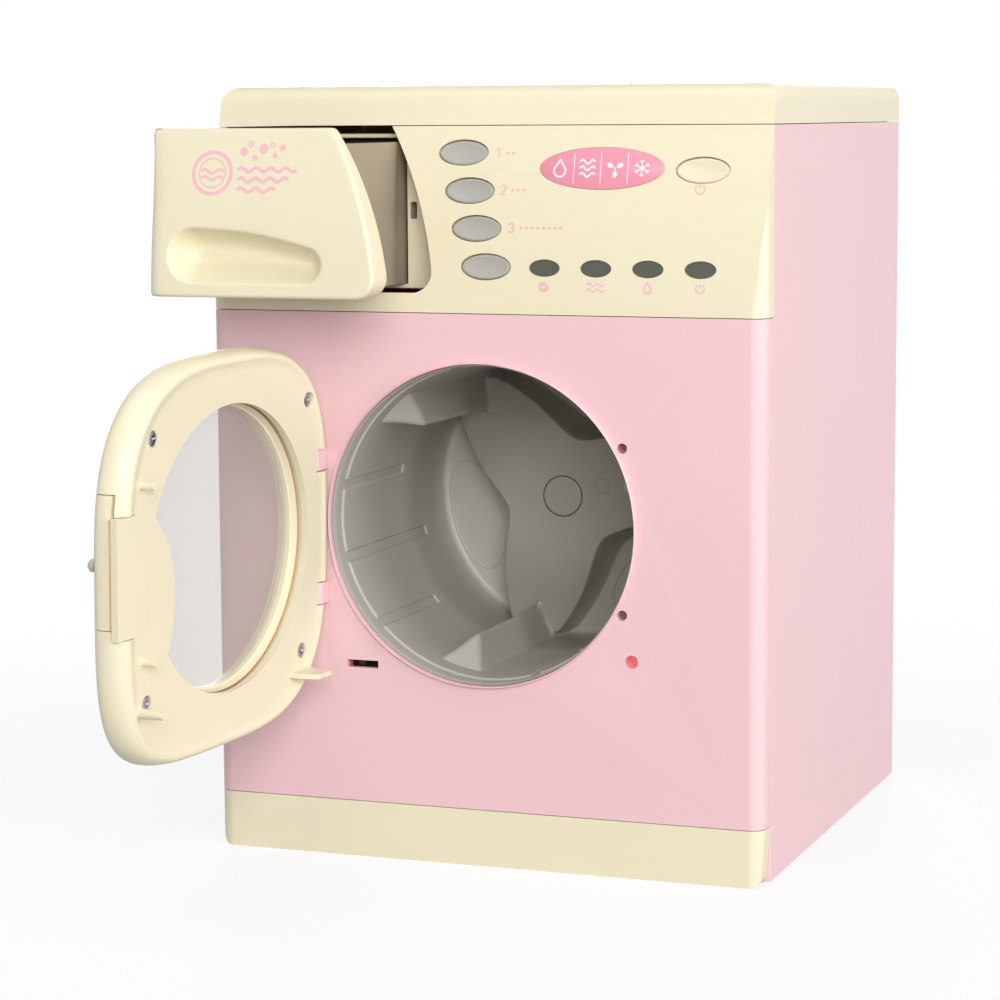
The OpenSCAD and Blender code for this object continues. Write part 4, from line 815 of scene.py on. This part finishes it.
glass = {"flangeR": 54.7, "edgeR": 50.5, "domeR": 50.3, "at": 4.6, "base": 8.6, "thick": 1.7, "flangeT": 1.8,
         "rise": 3.4, "steps": 14}
seat = {"outerR": 52.4, "gapR": 52.02, "slopeR": (50.55, 50.75), "from": 4.1, "at": 4.5, "to": 5.2, "end": 8.5}


def windowProfile():
    edge, at, base, flange, steps = (glass[key] for key in ("edgeR", "at", "base", "flangeR", "steps"))
    back, under = base + glass["thick"], at + glass["flangeT"]
    ball = (glass["domeR"] ** 2 + glass["rise"] ** 2) / (2 * glass["rise"])

    def dome(step, shift):
        radius = glass["domeR"] * step / steps
        return radius, base + shift + glass["rise"] - ball + sqrt(ball ** 2 - radius ** 2)
    rim = [(edge, base), (edge + 1.2, under), (edge + 1.9, at), (flange - 0.3, at), (flange, at + 0.3),
           (flange, under - 0.3), (flange - 0.3, under), (edge + 2.4, under), (edge + 0.3, back - 0.3), (edge, back)]
    return [dome(s, 0) for s in range(steps + 1)] + rim + [dome(s, glass["thick"]) for s in range(steps, -1, -1)]


doorLathe("doorWindow", windowProfile(), "clear", "door_window")
wideR, gapR, (nearR, backR) = seat["outerR"], seat["gapR"], seat["slopeR"]
# a thin ring of painted glow: warm light through the plastic at the window's seam
doorLathe("windowSeam", [(wideR, seat["from"]), (wideR, seat["at"]), (gapR, seat["at"]), (gapR, seat["from"])],
          "seam")
doorLathe("windowSeat", [(wideR, seat["at"]), (gapR, seat["at"]), (nearR, seat["end"]), (backR, seat["end"]),
                         (wideR, seat["to"])], "cream")
(lowX, lowZ), (highX, highZ) = tongue["slit"]  # painted glow of light through the plastic
slit = cutter((lowX, innerY - 3.15, lowZ), (highX, innerY - 2.65, highZ))
slit.name = slit.data.name = "tongueSlit"
placed(swung(slit), "seam", "door")
print("window")


# Controls on the leaning fascia
def onFascia(x, z):  # frame on the face: its Z points out, its Y up along the face
    angle = atan(max(0.0, z - cabinet["fasciaZ"]) / cabinet["leanR"])
    return Matrix.Translation((x, frontY + lean(z), z)) @ Matrix.Rotation(pi / 2 - angle, 4, "X")


def ovalLoft(name, rows, frameAt, around=72):  # rows of (half width, half height, level)
    points = [frameAt @ Vector((a * x, b * y, level)) for a, b, level in rows for x, y in circle(0, 0, 1, around)]
    return smoothMesh(meshFrom(name, points, ringFaces(len(rows), around), 0.004), 38)


controls = {"programs": ((-8.3, 265.5), (-4.9, 251.7), (-1.6, 238.0), (2.5, 224.1)), "size": (9.5, 4.6),
            "power": (83.5, 259.2), "powerSize": (9.9, 4.6), "sink": 0.4, "cap": 2.3, "flange": 1.2, "edge": 0.85,
            "dish": 0.55, "label": (45.5, 259.8), "labelSize": (23.6, 7.7), "lensX": (25.2, 44.85, 64.5, 84.15),
            "lensZ": 223.9, "lensSize": (5.85, 3.05), "meshAt": -0.485}


def pushButton(name, node, at, size, finish):  # size is half its width and height
    place, (a, b) = onFascia(*at), size
    back, edge = place.inverted(), controls["edge"]
    deep = min((back @ (v.co / mm)).z for v in nodes[node].data.vertices)
    top, under = -controls["sink"], -controls["sink"] - controls["cap"]
    low, round1 = under - controls["flange"], top - edge
    rows = [(0, 0, deep), (1.7, 1.7, deep), (2, 2, deep + 0.3), (2, 2, low)]
    rows += [(a + out, b + out, z) for out, z in ((0.9, low), (1.2, low + 0.3), (1.2, under - 0.2), (1, under),
                                                  (0, under), (0, round1))]
    for c, s in ((cos(radians(t)), sin(radians(t))) for t in (20, 45, 70, 90)):  # soft edge, then a shallow dish
        rows.append((a - edge * (1 - c), b - edge * (1 - c), round1 + edge * s))
    for s in (0.92, 0.82, 0.7, 0.55, 0.4, 0.22, 0.08, 0):
        rows.append(((a - edge) * s, (b - edge) * s, top - controls["dish"] * (1 - s ** 2.2)))
    placed(linked(name, ovalLoft(name, rows, place)), finish, node, node)


for number, at in enumerate(controls["programs"], 1):
    pushButton(f"programButton{number}", f"program_button_{number}", at, controls["size"], "button")
pushButton("powerButton", "power_button", controls["power"], controls["powerSize"], "cream")

a, b = controls["labelSize"]
rows = [(0, 0, -0.88), (a, b, -0.88), (a, b, 0.02), (a - 0.15, b - 0.15, 0.1), (0, 0, 0.1)]
label = linked("displayLabel", ovalLoft("displayLabel", rows, onFascia(*controls["label"])))
placed(label, "label", "cabinet", "display_label")
a, b = controls["lensSize"]
rows = [(0, 0, -3.6), (a + 1, b + 1, -3.6), (a + 1, b + 1, -2.6), (a, b, -2.6), (a, b, -0.75),
        (a - 0.2, b - 0.2, -0.55), (a * 0.6, b * 0.6, -0.5), (0, 0, -0.5)]
lensFrames = [onFascia(x, controls["lensZ"]) for x in controls["lensX"]]
work = bmesh.new()
for lensFrame in lensFrames:
    work.from_mesh(ovalLoft("lens", rows, lensFrame, 48))
lensMesh = bpy.data.meshes.new("indicatorLenses")
work.to_mesh(lensMesh)
work.free()
lenses = linked("indicatorLenses", smoothMesh(lensMesh, 38))
placed(lenses, "lens", "cabinet", "indicator_lenses")


def perforationTree():  # a staggered grid of small discs inside an oval, on every point
    tree = Tree("perforations", {
        "Across": ("Int", 27), "Up": ("Int", 17), "Pitch": ("Float", 0.46 * mm), "Half width": ("Float", 5.4 * mm),
        "Half height": ("Float", 2.7 * mm), "Dot": ("Float", 0.13 * mm), "Lean": ("Float", 0.0), "Seed": ("Int", 7),
        "Finish": ("Material", None)})
    add, maths, inputs = tree.add, tree.maths, tree.inputs
    pitch, rowStep = inputs["Pitch"], maths("MULTIPLY", inputs["Pitch"], 0.866)

    def axis(name):
        place = add("GeometryNodeInputPosition")
        return add("ShaderNodeSeparateXYZ", None, {0: place}, name)
    width = maths("MULTIPLY", maths("SUBTRACT", inputs["Across"], 1.0), pitch)
    height = maths("MULTIPLY", maths("SUBTRACT", inputs["Up"], 1.0), rowStep)
    grid = add("GeometryNodeMeshGrid", None, {"Size X": width, "Size Y": height, "Vertices X": inputs["Across"],
                                              "Vertices Y": inputs["Up"]})
    rowAt = maths("DIVIDE", maths("ADD", axis("Y"), maths("MULTIPLY", height, 0.5)), rowStep)
    row = add("FunctionNodeFloatToInt", {"rounding_mode": "ROUND"}, {0: rowAt})
    side = maths("SUBTRACT", maths("MODULO", row, 2.0), 0.5)
    shift = add("ShaderNodeCombineXYZ", None, {"X": maths("MULTIPLY", side, maths("MULTIPLY", pitch, 0.5))})
    moved = add("GeometryNodeSetPosition", None, {"Geometry": grid, "Offset": shift})
    u, v = (maths("DIVIDE", axis(name), inputs[half]) for name, half in (("X", "Half width"), ("Y", "Half height")))
    outside = maths("GREATER_THAN", maths("ADD", maths("MULTIPLY", u, u), maths("MULTIPLY", v, v)), 1.0)
    kept = add("GeometryNodeDeleteGeometry", {"domain": "POINT"}, {"Geometry": moved, "Selection": outside})
    disc = add("GeometryNodeMeshCircle", {"fill_type": "NGON"}, {"Vertices": 7, "Radius": inputs["Dot"]})
    size = add("FunctionNodeRandomValue", {"data_type": "FLOAT"}, {"Min": 0.8, "Max": 1.15, "Seed": inputs["Seed"]}, 1)
    turned = add("ShaderNodeCombineXYZ", None, {"X": inputs["Lean"]})
    patch = tree.spread(kept, disc, Scale=size)
    return tree.finish(tree.spread(inputs["Geometry"], patch, Rotation=turned))


def pointsObject(name, places):
    mesh = bpy.data.meshes.new(name)
    mesh.from_pydata([Vector(p) * mm for p in places], [], [])
    return linked(name, mesh)


# the dark discs are painted shade, standing in for the shaded pits of the lens's dot relief
spots = pointsObject("lensMesh", [place @ Vector((0, 0, controls["meshAt"])) for place in lensFrames])
perforationTree().grow(spots, {"Lean": lensFrames[0].to_euler().x, "Finish": finishes["hole"]})
placed(spots, None, "cabinet")
print("controls:", len(spots.data.polygons), "lens holes")


# Prints: flat strokes laid on a face
def ribbon(line, width, closed=False):
    left, right, count = [], [], len(line)
    for i, (x, z) in enumerate(line):
        before = line[i - 1] if i or closed else None
        after = line[(i + 1) % count] if i < count - 1 or closed else None
        ways = []
        for a, b in ((before, (x, z)), ((x, z), after)):
            if a and b:
                length = hypot(b[0] - a[0], b[1] - a[1]) or 1
                ways.append((-(b[1] - a[1]) / length, (b[0] - a[0]) / length))
        nx, nz = (sum(parts) / len(ways) for parts in zip(*ways))
        scale = width / 2 / max(0.35, nx * nx + nz * nz)
        left.append((x + nx * scale, z + nz * scale))
        right.append((x - nx * scale, z - nz * scale))
    pairs = [(i, (i + 1) % count) for i in range(count if closed else count - 1)]
    return [[left[i], left[j], right[j], right[i]] for i, j in pairs]


def wave(x0, x1, z, height, waves, count=36):
    return [(x0 + (x1 - x0) * i / count, z + height * sin(tau * waves * i / count)) for i in range(count + 1)]


def printOn(name, strokes, finish, place, body, outward):
    points, faces = [], []
    for number, stroke in enumerate(strokes):
        for loop in stroke:
            faces.append(tuple(range(len(points), len(points) + len(loop))))
            points += [Vector(place(u, v, 0.02 + 0.003 * (number % 3))) * mm for u, v in loop]
    mesh = bpy.data.meshes.new(name)
    mesh.from_pydata(points, [], faces)
    work = bmesh.new()
    work.from_mesh(mesh)
    for face in work.faces:
        if face.normal.dot(outward) < 0:
            face.normal_flip()
    work.to_mesh(mesh)
    work.free()
    placed(linked(name, mesh), finish, body)


def onFace(x, z, lift):
    return x, faceY(x, z) - lift, z


def onDrawer(x, z, lift):
    return x, faceY(x, z) - lift - drawer["out"], z


def onLabel(u, v, lift):
    return onFascia(*controls["label"]) @ Vector((u, v, 0.1 + lift))


digits = {"1": [[(0.12, 0.74), (0.5, 1), (0.5, 0)]],
          "2": [circle(0.42, 0.7, 0.3, 12, pi * 0.95, -pi * 1.15) + [(0.08, 0.04), (0.78, 0.04)]],
          "3": [circle(0.4, 0.75, 0.25, 12, pi * 0.9, -pi * 1.4), circle(0.4, 0.27, 0.27, 12, pi * 0.5, -pi * 1.4)]}
legend = {"digit": 3.4, "dotR": 0.62, "dotStep": 2.2, "signZ": 217.2, "power": (82.9, 252.4)}


def digit(label, x, z, height):
    return [ribbon([(x + u * height, z + v * height) for u, v in line], height * 0.19) for line in digits[label]]


def powerSign(x, z, r):
    return [ribbon(circle(x, z, r, 24, pi * 0.68, pi * 1.64), r * 0.34),
            ribbon([(x, z + r * 0.15), (x, z + r * 1.15)], r * 0.34)]


legends = []
for number, (x, z, dots) in enumerate(((4.1, 263.6, 2), (6.8, 250.2, 3), (10.7, 236.6, 8)), 1):
    legends += digit(str(number), x, z, legend["digit"])
    legends += [[circle(x + 5 + legend["dotStep"] * k, z + 1.7, legend["dotR"], 14)] for k in range(dots)]
z = legend["signZ"]
spinX, washX, fillX, onX = controls["lensX"]
coil = [(0.5 + 1.4 * s / 30, s * 0.42) for s in range(31)]
legends.append(ribbon([(spinX - 0.2 + r * cos(a), z + r * sin(a)) for r, a in coil], 0.55))
legends += [ribbon(wave(washX - 3.4, washX + 3.4, z + k, 0.5, 2), 0.6) for k in (-1.1, 0.9)]
legends.append(ribbon([(fillX, z + 2)] + circle(fillX, z - 0.5, 1.35, 20, pi * 0.16, -pi * 1.32), 0.6, True))
legends += powerSign(onX, z, 1.6) + powerSign(*legend["power"], 1.7)
printOn("legends", legends, "print", onFace, "cabinet", Vector((0, -1, 0)))

fan, flake = {"x": 5.1, "turn": 0.3, "hub": 0.42}, {"x": 15.2, "arm": 3, "fork": 2.0, "twig": 1.1}
icons = [ribbon([(-u, v), (-u, -v)], 0.35) for u, v in ((10.5, 5.6), (0.3, 6.2), (-9.9, 5.6))]
icons.append(ribbon([(-15.9, 3.1)] + circle(-15.9, -0.9, 2.2, 24, pi * 0.14, -pi * 1.28), 0.7, True))
icons += [ribbon(wave(-8.3, -2.5, v, 0.75, 1.5, 24), 0.75) for v in (2.4, 0.0, -2.4)]
for k in range(3):
    a = tau * k / 3 + fan["turn"]
    blade = ((0.5, 0.1), (1.9, 1.5), (3.2, 1.2), (3.4, 0.1), (2.0, -0.5))
    icons.append([[(fan["x"] + u * cos(a) - v * sin(a), u * sin(a) + v * cos(a)) for u, v in blade]])
icons.append([circle(fan["x"], 0, fan["hub"], 14)])
for k in range(3):
    a = pi * k / 3 + pi / 6
    icons.append(ribbon(circle(flake["x"], 0, flake["arm"], 1, a + pi, -pi), 0.6))
    for way in (a + pi, a):
        tip = flake["x"] + flake["fork"] * cos(way), flake["fork"] * sin(way)
        for bend in (way - 0.8, way + 0.8):
            icons.append(ribbon([tip, (tip[0] + flake["twig"] * cos(bend), tip[1] + flake["twig"] * sin(bend))], 0.42))
lookOut = onFascia(*controls["label"]).to_3x3() @ Vector((0, 0, 1))
printOn("labelIcons", icons, "whitePrint", onLabel, "cabinet", lookOut)

motif = [ribbon(circle(-83.5, 259, 7.4, 48), 1.3, True), ribbon(circle(-83.5, 259, 5.2, 40), 0.5, True)]
motif += [ribbon(wave(-88.0, -79.0, z, 0.7, 1.5, 30), 0.9) for z in (259.6, 257.2)]
motif += [[circle(x, z, r, 20)] for x, z, r in ((-71.6, 266.6, 1.5), (-67.3, 264.4, 1.0), (-63.9, 267.6, 1.8),
                                                (-59.4, 265.2, 0.9), (-56.6, 268, 1.2))]
motif += [ribbon(circle(x, z, r, 24), 0.5, True) for x, z, r in ((-69.2, 269.3, 0.9), (-60.6, 268.9, 0.8))]
motif += [ribbon(wave(-73.5, x, z, 0.75, waves, 60), 1.2)
          for x, z, waves in ((-50.5, 260.2, 4), (-53.5, 256.6, 3.5), (-58.5, 253.0, 2.5))]
printOn("drawerPrint", motif, "print", onDrawer, "drawer", Vector((0, -1, 0)))
print("prints")


# Screws: one cross-recess screw for each place, set out by Geometry Nodes
def screwShape(name, head, headT, shank, length):  # axis +Z, head below zero
    profile = [(0, -headT), (head * 0.55, -headT), (head * 0.86, -headT * 0.86), (head, -headT * 0.45), (head, 0),
               (shank, 0)]
    turns = int(length / 0.9)
    for k in range(turns):
        level = 0.3 + k * (length - 1.2) / turns
        profile += [(shank * 0.8, level), (shank, level + 0.25), (shank * 0.8, level + 0.5)]
    profile += [(shank * 0.7, length - 0.5), (0, length)]
    points, faces = lathe(profile, 24)
    piece = linked(name, meshFrom(name, [(x, z, d) for x, d, z in points], faces, 0.004))
    arm, half, top = head * 0.56, head * 0.11, -headT - 1
    carve(piece, [cutter((-arm, -half, top), (arm, half, -headT * 0.45)),
                  cutter((-half, -arm, top), (half, arm, -headT * 0.4))])
    smoothMesh(piece.data, 30)
    return piece


def screwTree():  # a screw on every point, its axis along the point's own way
    tree = Tree("screws", {"Screw": ("Object", None), "Seed": ("Int", 3), "Finish": ("Material", None)})
    add, inputs = tree.add, tree.inputs
    shape = add("GeometryNodeObjectInfo", {"transform_space": "ORIGINAL"}, {"Object": inputs["Screw"]}, "Geometry")
    way = add("GeometryNodeInputNamedAttribute", {"data_type": "FLOAT_VECTOR"}, {"Name": "way"})
    spin = add("FunctionNodeRandomValue", {"data_type": "FLOAT"}, {"Min": 0.0, "Max": 1.5, "Seed": inputs["Seed"]}, 1)
    spun = add("ShaderNodeCombineXYZ", None, {"Z": spin})
    aligned = add("FunctionNodeAlignRotationToVector", {"axis": "Z"}, {"Vector": way})
    turned = add("FunctionNodeRotateRotation", {"rotation_space": "LOCAL"}, {"Rotation": aligned, "Rotate By": spun})
    return tree.finish(tree.spread(inputs["Geometry"], shape, Rotation=turned))


screws = screwTree()
rearward, upward = Vector((0, -1, 0)), Vector((0, 0, 1))
screwSets = {  # node, body, shape, way and places
    "doorScrews": ("door_screws", "door", (2.7, 1.0, 1.15, 9), opened.to_3x3() @ rearward,
                   [opened @ Vector((x, innerY - 1.2, z)) for x, z in door["screws"]]),
    "baseScrews": ("base_screws", "cabinet", (2.7, 1.2, 1.35, 9), upward,
                   [(x, y, 1.5) for x in (-102.1, 102.1) for y in (-81.6, 92)]),
    "backScrews": ("bracket_screws", "cabinet", (3, 1.3, 1.5, 16), rearward,
                   [(x, 102.6, drumZ + dz) for x in (-44, 44) for dz in (-30, 30)]),
    "drawerScrews": ("drawer_screws", "drawer", (2.6, 1.4, 1.3, 5.5), rearward,
                     [(x, -89.4 - drawer["out"], 261.3) for x in (-94, -45.3)]),
    "batteryScrew": ("battery_screw", "battery_door", (2.2, 1.3, 1.2, 8), rearward, [(30.7, 102.7, 55)])}
for number, (name, (node, body, sizes, way, places)) in enumerate(screwSets.items()):
    shape = screwShape(name + "Shape", *sizes)
    piece = pointsObject(name, places)
    for item in piece.data.attributes.new("way", "FLOAT_VECTOR", "POINT").data:
        item.vector = way
    screws.grow(piece, {"Screw": shape, "Finish": finishes["steel"], "Seed": number})
    smoothMesh(piece.data, 30)
    bpy.data.objects.remove(shape)
    placed(piece, None, body, node)
print("screws")

# Small and inner parts: their own solids with softened edges
small = {
    "drum_shaft": (0.3, "steel", "drum"), "shaft_clip": (0.15, "steel", "drum"), "drive_gear": (0.15, "gear", "drum"),
    "motor_pinion": (0.12, "gear", "pinion"), "motor_shaft": (0.15, "steel", "pinion"),
    "drive_motor": (0.6, "steel", "cabinet"), "shaft_bush": (0.25, "brass", "cabinet"),
    "button_switches": (0.2, "black", "cabinet"), "control_board": (0.15, "board", "cabinet"),
    "door_switch": (0.3, "black", "cabinet"), "switch_plunger": (0.25, "black", "switch_plunger"),
    "hinge_pins": (0.3, "steel", "door"), "battery_box": (0.3, "black", "cabinet"),
    "battery_door": (0.35, "pink", "battery_door")}
for node, (width, finish, body) in small.items():
    softened(node, width, finish, body)

# Battery cells, their contacts and the lights keep their solids
kept = {"battery_cells": "sleeve", "battery_contacts": "steel", "indicator_leds": "clear"}
for node, finish in kept.items():
    nodes[node].data.materials.clear()
    nodes[node].data.materials.append(finishes[finish])
print("inner parts:", len(small) + len(kept))

# Floor: shaded near the object, plain white further away and to glass and gloss
pale = Paint(bpy.data.materials.new("pale floor"))
away = pale.node("VectorMath", {"operation": "LENGTH"}, {0: pale.spot()}, "Value")
shown = pale.seen()
pale.show(**{"Base Color": pale.mix(shown, linear(150, 150, 150), linear(252, 252, 252)), "Roughness": 0.6,
             "Specular IOR Level": 0.15})
bright = pale.node("Emission", None, {"Color": (1, 1, 1, 1), "Strength": 1.0})
share = (away.above(0.38, 0.22) * 0.22 + 0.78) * shown
blend = pale.node("MixShader", None, {0: share, 1: Value(pale, pale.shader.outputs[0]), 2: bright})
pale.feed(pale.tree.nodes["Material Output"].inputs["Surface"], blend)
wide, under = 9000, -0.02
sheet = meshFrom("floor", [(-wide, -wide, under), (wide, -wide, under), (wide, wide, under), (-wide, wide, under)],
                 [(0, 1, 2, 3)])
sheet.materials.append(pale.owner)
linked("floor", sheet)

# World and lamps
world = bpy.data.worlds.new("studio")
scene.world = world
sky = Paint(world, "Background")
sky.show(Color=(1, 1, 1, 1), Strength=sky.node("MapRange", None, {"Value": sky.seen(), "To Min": 0.20, "To Max": 1.0}))
lamps = {  # place, height aimed at, size and power
    "key": ((1.08, -2.22, 0.92), 0.12, 1.5, 43.5), "side": ((2.30, -0.49, 0.62), 0.12, 1.2, 25),
    "top": ((-0.2, -0.6, 2.3), 0.1, 1.6, 11), "back": ((-0.9, 2.3, 0.38), 0.12, 1.5, 24),
    "fill": ((-2.2, -1.3, 0.7), 0.15, 1.4, 6)}
for name, (place, aimZ, size, power) in lamps.items():
    light = bpy.data.lights.new(name, "AREA")
    light.shape = "DISK"
    light.size = size
    light.energy = power
    aim = (Vector((0, 0, aimZ)) - Vector(place)).to_track_quat("-Z", "Y")
    linked(name, light).matrix_world = Matrix.Translation(place) @ aim.to_matrix().to_4x4()
scene.view_settings.view_transform = "Standard"

print("done")
